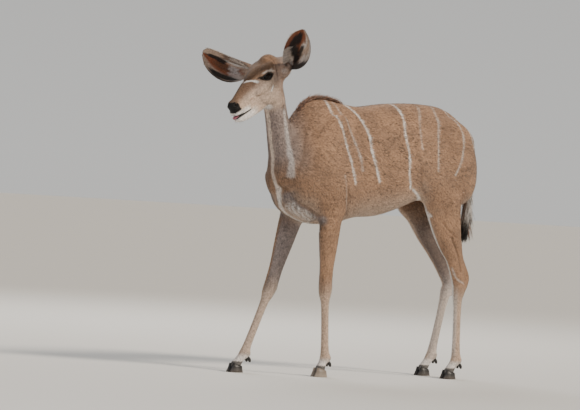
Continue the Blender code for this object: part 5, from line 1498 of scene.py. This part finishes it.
def make_lids_and_lashes(material, hair, draw):
    """Black rims of the lids, swept along each almond, and the lashes of the upper one."""
    points, faces, roots, aims, ups = [], [], [], [], []
    t = np.linspace(0, 1, 25)
    turn = angles(10)
    a = LID_FRONT + (LID_REAR - LID_FRONT) * t
    for side in (1, -1):
        forward, upward, outward = eye_axes(side)
        centre = mirrored(EYE_PLACE, side)
        for height, thick in ((LID_TOP, LID_THICK * 1.15), (LID_BOTTOM, LID_THICK)):
            b = height * lid_arch(t)
            out = np.sqrt(np.maximum((EYE_RADIUS + 0.0012) ** 2 - a * a - b * b, SKIN_OVER_EYE ** 2))
            path = centre + a[:, None] * forward + b[:, None] * upward + out[:, None] * outward
            ahead = unit(np.gradient(path, axis=0))
            across = unit(np.cross(ahead, outward))
            rise = np.cross(across, ahead)
            size = thick * (0.45 + 0.55 * np.sin(math.pi * t))
            spokes = across[:, None] * np.cos(turn)[:, None] + rise[:, None] * np.sin(turn)[:, None]
            faces.append(ring_quads(len(t), len(turn), sum(len(p) for p in points)))
            points.append((path[:, None] + spokes * size[:, None, None]).reshape(-1, 3))
            if height < 0:
                continue
            for _ in range(EYE_LASHES):
                place = draw.uniform(3, 21)
                n = int(place)
                roots.append(path[n] + (path[n + 1] - path[n]) * (place - n) + rise[n] * size[n] * 0.6)
                aims.append(unit(outward * 0.9 + upward * 0.35 - forward * draw.uniform(-0.1, 0.4)))
                ups.append(-upward)
    piece("eyelid_rims", np.concatenate(points), np.concatenate(faces), material)
    grow("lashes", np.array(roots), np.array(aims), np.array(ups), draw.uniform(0.008, 0.013, len(roots)),
         0.0007, {"black": 0.95}, hair, draw, bend=0.35, flatness=0.5, chart=head_chart)


def make_eye(which, side, material):
    """An eyeball with a level pupil, drawn as the share of iris at each point."""
    forward, upward, outward = eye_axes(side)
    polar, turn = np.linspace(0, math.pi, 25), angles(48)
    a = np.sin(polar)[:, None] * np.cos(turn)
    b = np.sin(polar)[:, None] * np.sin(turn)
    c = np.repeat(np.cos(polar)[:, None], len(turn), 1)
    out = a[..., None] * forward + b[..., None] * upward + c[..., None] * outward
    points = mirrored(EYE_PLACE, side) + (EYE_RADIUS - 0.0002) * out
    faces = ring_quads(len(polar), len(turn))[:, TURNED]
    iris = ramp(0.75, 0.62, np.hypot(a, b)) * ramp(0.8, 1.2, np.hypot(a / 0.42, b / 0.20)) * (c > 0)
    made = piece("eyeball_" + which, points.reshape(-1, 3), faces, material, {"iris": iris.ravel()})
    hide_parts("eye_" + which)


def make_tongue(material):
    """Tip of the tongue, a soft wedge with a groove along its middle."""
    rows = smooth_rows(TONGUE, LINE_STEPS)
    turn = angles(20)
    floor = np.interp(rows[:, 0], [row[0] for row in MOUTH], [row[1] for row in MOUTH]) + 0.0005
    groove = 0.22 * np.exp(-(np.cos(turn) / 0.22) ** 2) * (np.sin(turn) > 0)
    across = rows[:, 1:2] * np.cos(turn)
    rise = floor[:, None] + rows[:, 2:3] * (0.5 + 0.5 * np.sin(turn) * (1 - groove))
    points = POLL + rows[:, 0, None, None] * ALONG + across[..., None] * LEFT + rise[..., None] * UP
    faces = ring_quads(len(rows), len(turn))
    made = piece("tongue_tip", points.reshape(-1, 3), faces, material)
    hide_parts("tongue")


def make_hoof(leg, material):
    """Two pointed claws side by side on the floor, each a wall of horn with a flat sole."""
    y, joints = STANCE[leg]
    x, z = joints[3]
    around = 36
    fore, across = np.cos(angles(around)), np.sin(angles(around))
    point = 1 - 0.42 * np.clip(-fore, 0, 1) ** 2
    half = (HOOF_HALF_WIDTH - CLEFT_SOLE) / 2
    top_x = x + HOOF_TOP_HALF * fore * 0.99
    top_z = z + HOOF_TOP_SLOPE * (top_x - x)
    points, faces = [], []
    for side in (-1, 1):
        top_y = side * (CLEFT_TOP + CLAW_TOP + CLAW_TOP * across)
        rings = []
        for height, spread, share in CLAW_RINGS:
            sole_x = x + (SOLE_REAR - SOLE_FRONT) / 2 + (SOLE_REAR + SOLE_FRONT) / 2 * spread * fore
            sole_y = side * (CLEFT_SOLE + half + half * across * point * spread - 0.25 * half * (1 - point))
            level = top_z + 0.001 if share == 1 else height + share * 0.25 * (top_z - z)
            rings.append(np.stack((sole_x + (top_x - sole_x) * share,
                                   y + sole_y + (top_y - sole_y) * share, level), 1))
        start = sum(len(p) for p in points)
        walls = ring_quads(len(rings), around, start)
        faces += (walls if side > 0 else walls[:, ::-1]).tolist()
        claw = np.concatenate(rings)
        for level in (0, len(rings) - 1):
            middle = start + len(claw)
            claw = np.concatenate((claw, rings[level].mean(0)[None]))
            for j in range(0, around, 2):
                p, q, r = (start + level * around + (j + k) % around for k in range(3))
                faces.append((middle, p, q, r) if (level > 0) == (side > 0) else (middle, r, q, p))
        points.append(claw)
    made = piece(leg + "_claws", np.concatenate(points), faces, material)
    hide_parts(leg + "_hoof")


def make_dewclaws(material):
    """Two small black claws behind each fetlock."""
    polar, turn = np.linspace(0.02, math.pi - 0.02, 13), angles(16)
    ring = np.clip(np.sin(polar), 0, 1)[:, None] ** 0.85
    lean = unit(np.array((-0.45, 0.0, 1.0)))
    axes = (np.cross((0.0, 1.0, 0.0), lean), np.array((0.0, 1.0, 0.0)), lean)
    places = (ring * np.cos(turn), ring * np.sin(turn), np.cos(polar)[:, None])
    claw = sum((radius * place)[..., None] * axis
               for radius, place, axis in zip(DEWCLAW_RADII, places, axes))
    points, faces = [], []
    for y, joints in STANCE.values():
        x, z = joints[2]
        for side in (-1, 1):
            centre = np.array((x + 0.0215, y + side * DEWCLAW_SPREAD, z - 0.029))
            faces.append(ring_quads(len(polar), len(turn), sum(len(p) for p in points))[:, TURNED])
            points.append((centre + claw).reshape(-1, 3))
    piece("dewclaws", np.concatenate(points), np.concatenate(faces), material)


def make_whiskers(hide, hair, draw):
    """Sparse bristles of the lips and chin."""
    roots, normals, _ = on_hide(hide, on_lips, WHISKERS, draw)
    aims = unit(normals + 0.21 * ALONG + np.array((0, 0, -0.25)) + draw.normal(0, 0.15, roots.shape))
    grow("whiskers", roots, aims, -UP + 0 * roots, draw.uniform(0.006, 0.013, WHISKERS), 0.0004,
         {"dark": 0.9}, hair, draw, flatness=0.5, chart=head_chart)


def make_hide_piece(material):
    """The whole skin with both ears, its marks and the data that the coat grows by."""
    points, faces = make_hide()
    normals = normals_of(points, faces)
    s, z = in_head(points)[:, 0], points[:, 2]
    head = ramp(-0.01, 0.02, above_cut(points))
    of_body = 0.0125 - 0.0045 * ramp(0.75, 0.55, z) - 0.0020 * ramp(0.45, 0.30, z)
    of_head = 0.0095 - 0.0040 * ramp(0.03, 0.10, s) - 0.0018 * ramp(0.24, 0.31, s)
    hide = {"points": points, "faces": faces, "normals": normals, "lie": lie_of_hair(points, normals),
            "marks": hide_marks(points, normals), "length": of_body * (1 - head) + of_head * head,
            "thick": 1.45, "ears": [make_ear(which) for which in EARS]}
    parts = [hide] + hide["ears"]
    starts = np.cumsum([0] + [len(part["points"]) for part in parts])
    skin = piece("hide", np.concatenate([part["points"] for part in parts]),
                 np.concatenate([part["faces"] + start for part, start in zip(parts, starts)]),
                 material,
                 {name: np.concatenate([part["marks"][name] for part in parts]) for name in MARKS})
    flesh = [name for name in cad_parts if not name.startswith("eye_") and not name.endswith("_hoof")
             and name != "tongue"]
    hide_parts(*flesh)
    return hide


def region_of(hide):
    """The coat piece that each triangle of the hide belongs to."""
    middle = hide["points"][hide["faces"]].mean(1)
    x, y, z = middle.T
    region = np.where(y < 0, "torso_left", "torso_right").astype("<U16")
    region[(above_cut(middle) < 0.0) & (x < -0.16) & (z > 1.0)] = "neck"
    region[(x > 0.862) & (z < 1.09)] = "tail"
    low = z < 0.735 + 0.05 * (x > 0.3)
    for leg, (leg_y, _) in STANCE.items():
        same = (np.sign(y) == np.sign(leg_y)) & ((x < 0.3) == leg.startswith("fore"))
        region[low & same & (region != "tail")] = leg
    region[above_cut(middle) >= 0.0] = "head"
    return region


def make_coats(hide, coat, draw):
    """Short coat over all of the hide but the nose, in pieces."""
    region = region_of(hide)
    bare = hide["marks"]["black"][hide["faces"]].mean(1) > 0.6
    flank_chart = angle_chart(0, (0.3, 0, 0.98), (-0.30, 0.90))
    coats = {"torso_left": (flank_chart, "fawn_coat"), "torso_right": (flank_chart, "fawn_coat"),
             "neck": (angle_chart(2, (-0.25, 0, 1.1), (0.95, 1.30)), "grey_coat"),
             "head": (head_chart, "fawn_coat")}
    for leg in STANCE:
        coats[leg] = (leg_chart(*STANCE[leg]), "leg_coat")
    for name, (chart, slot) in coats.items():
        make_coat("coat_" + name, hide, (region == name) & ~bare, chart, coat, draw)
    for which, ear in zip(EARS, hide["ears"]):
        make_coat("coat_ear_" + which, ear, np.ones(len(ear["faces"]), bool), ear_chart(ear),
                  coat, draw)


def ear_chart(ear):
    """An unwrap of an ear: place along it and round its curl, its inner face beside the outer one."""
    tree = KDTree(len(ear["points"]))
    for number, point in enumerate(ear["points"]):
        tree.insert(point, number)
    tree.balance()

    def place(points):
        nearest = np.array([tree.find(point)[1] for point in points])
        inner = nearest >= len(ear["points"]) // 2
        return np.stack((ear["place"][nearest], (ear["turn"][nearest] + 1) / 4 + 0.5 * inner), 1)
    return place


def leg_chart(y, joints):
    """An unwrap of a leg: height up it and the angle round its bones."""
    xs = [joint[0] for joint in joints]
    zs = [joint[1] for joint in joints]

    def place(points):
        middle = np.interp(points[:, 2], zs[::-1], xs[::-1])
        turn = np.arctan2(points[:, 1] - y, points[:, 0] - middle) / math.tau + 0.5
        return np.stack(((points[:, 2] - 0.02) / 0.80, turn), 1)
    return place


def make_floor():
    """Wide pale floor."""
    mesh = bpy.data.meshes.new("studio_floor")
    rim = [(FLOOR_RADIUS * math.cos(a), FLOOR_RADIUS * math.sin(a), 0.0) for a in angles(FLOOR_CORNERS)]
    mesh.from_pydata(rim, [], [tuple(range(FLOOR_CORNERS))])
    floor = placed("studio_floor", mesh)
    # Paper without gloss takes the animal's soft shadow and nothing else
    material, _, shader = new_material("matt studio paper")
    shader.inputs["Base Color"].default_value = hex_linear("#d9d7d3")
    shader.inputs["Roughness"].default_value = 0.9
    mesh.materials.append(material)


def make_lights():
    """A warm sun on the animal's left, a cool fill from ahead and a white light on its far side."""
    for name, kind, place, power, code in LIGHTS:
        lamp = bpy.data.lights.new(name, kind)
        lamp.energy = power
        lamp.color = hex_linear(code)[:3]
        if kind == "SUN":
            lamp.angle = SUN_ANGLE
        else:
            lamp.shape = "DISK"
            lamp.size = LAMP_SIZE
        holder = placed(name, lamp)
        holder.location = place
        holder.rotation_euler = (LIGHT_AIM - Vector(place)).to_track_quat("-Z", "Y").to_euler()


def make_world():
    """Soft light from all sides, strongest from low down."""
    world = bpy.data.worlds.new("soft room light")
    world.use_nodes = True
    tree = world.node_tree
    above = add(tree, "ShaderNodeTexCoord").outputs["Generated"]
    above = add(tree, "ShaderNodeSeparateXYZ", {"Vector": above}).outputs["Z"]
    strength = add(tree, "ShaderNodeMapRange", {"Value": above, "From Min": 0.0, "From Max": 0.35,
                                                "To Min": 0.78, "To Max": 0.38}).outputs["Result"]
    background = tree.nodes["Background"]
    background.inputs["Color"].default_value = hex_linear("#e9e8e5")
    tree.links.new(strength, background.inputs["Strength"])
    bpy.context.scene.world = world


def make_camera():
    """The photograph's camera."""
    camera = bpy.data.cameras.new("camera")
    camera.lens = CAMERA_LENS
    camera.sensor_width = 36.0
    camera.clip_end = 100.0
    holder = placed("camera", camera)
    turn = Matrix((CAMERA_RIGHT, CAMERA_UP, CAMERA_RIGHT.cross(CAMERA_UP))).transposed()
    holder.matrix_world = Matrix.Translation(Vector(CAMERA_PLACE + SHIFT)) @ turn.to_4x4()
    bpy.context.scene.camera = holder


draw = np.random.default_rng(SEED)
skin_material = hair_material("kudu hide under short hair", 0.78, 0.0012)
coat_material = hair_material("short kudu hair", 0.72, 0.0)
bare_skin = plain_material("black bare skin", "#1a1514", 0.45, 0.15)
hide = make_hide_piece(skin_material)
make_coats(hide, coat_material, draw)
make_mane(hide, coat_material, draw)
make_tail_hair(coat_material, draw)
make_ear_hair(coat_material, draw)
make_lids_and_lashes(bare_skin, coat_material, draw)
make_whiskers(hide, coat_material, draw)
eye = eye_material()
make_eye("left", 1, eye)
make_eye("right", -1, eye)
make_tongue(plain_material("moist tongue", "#b86a78", 0.3, 0.4))
horn = horn_material("worn black hoof horn", "#171515", "#2b2826", "#6c625a")
dusty_horn = horn_material("dusty hoof horn", "#6e6257", "#85786b", "#b0a294")
for leg in STANCE:
    make_hoof(leg, dusty_horn if leg == "foreleg_left" else horn)
make_dewclaws(horn)
make_floor()
make_lights()
make_world()
make_camera()
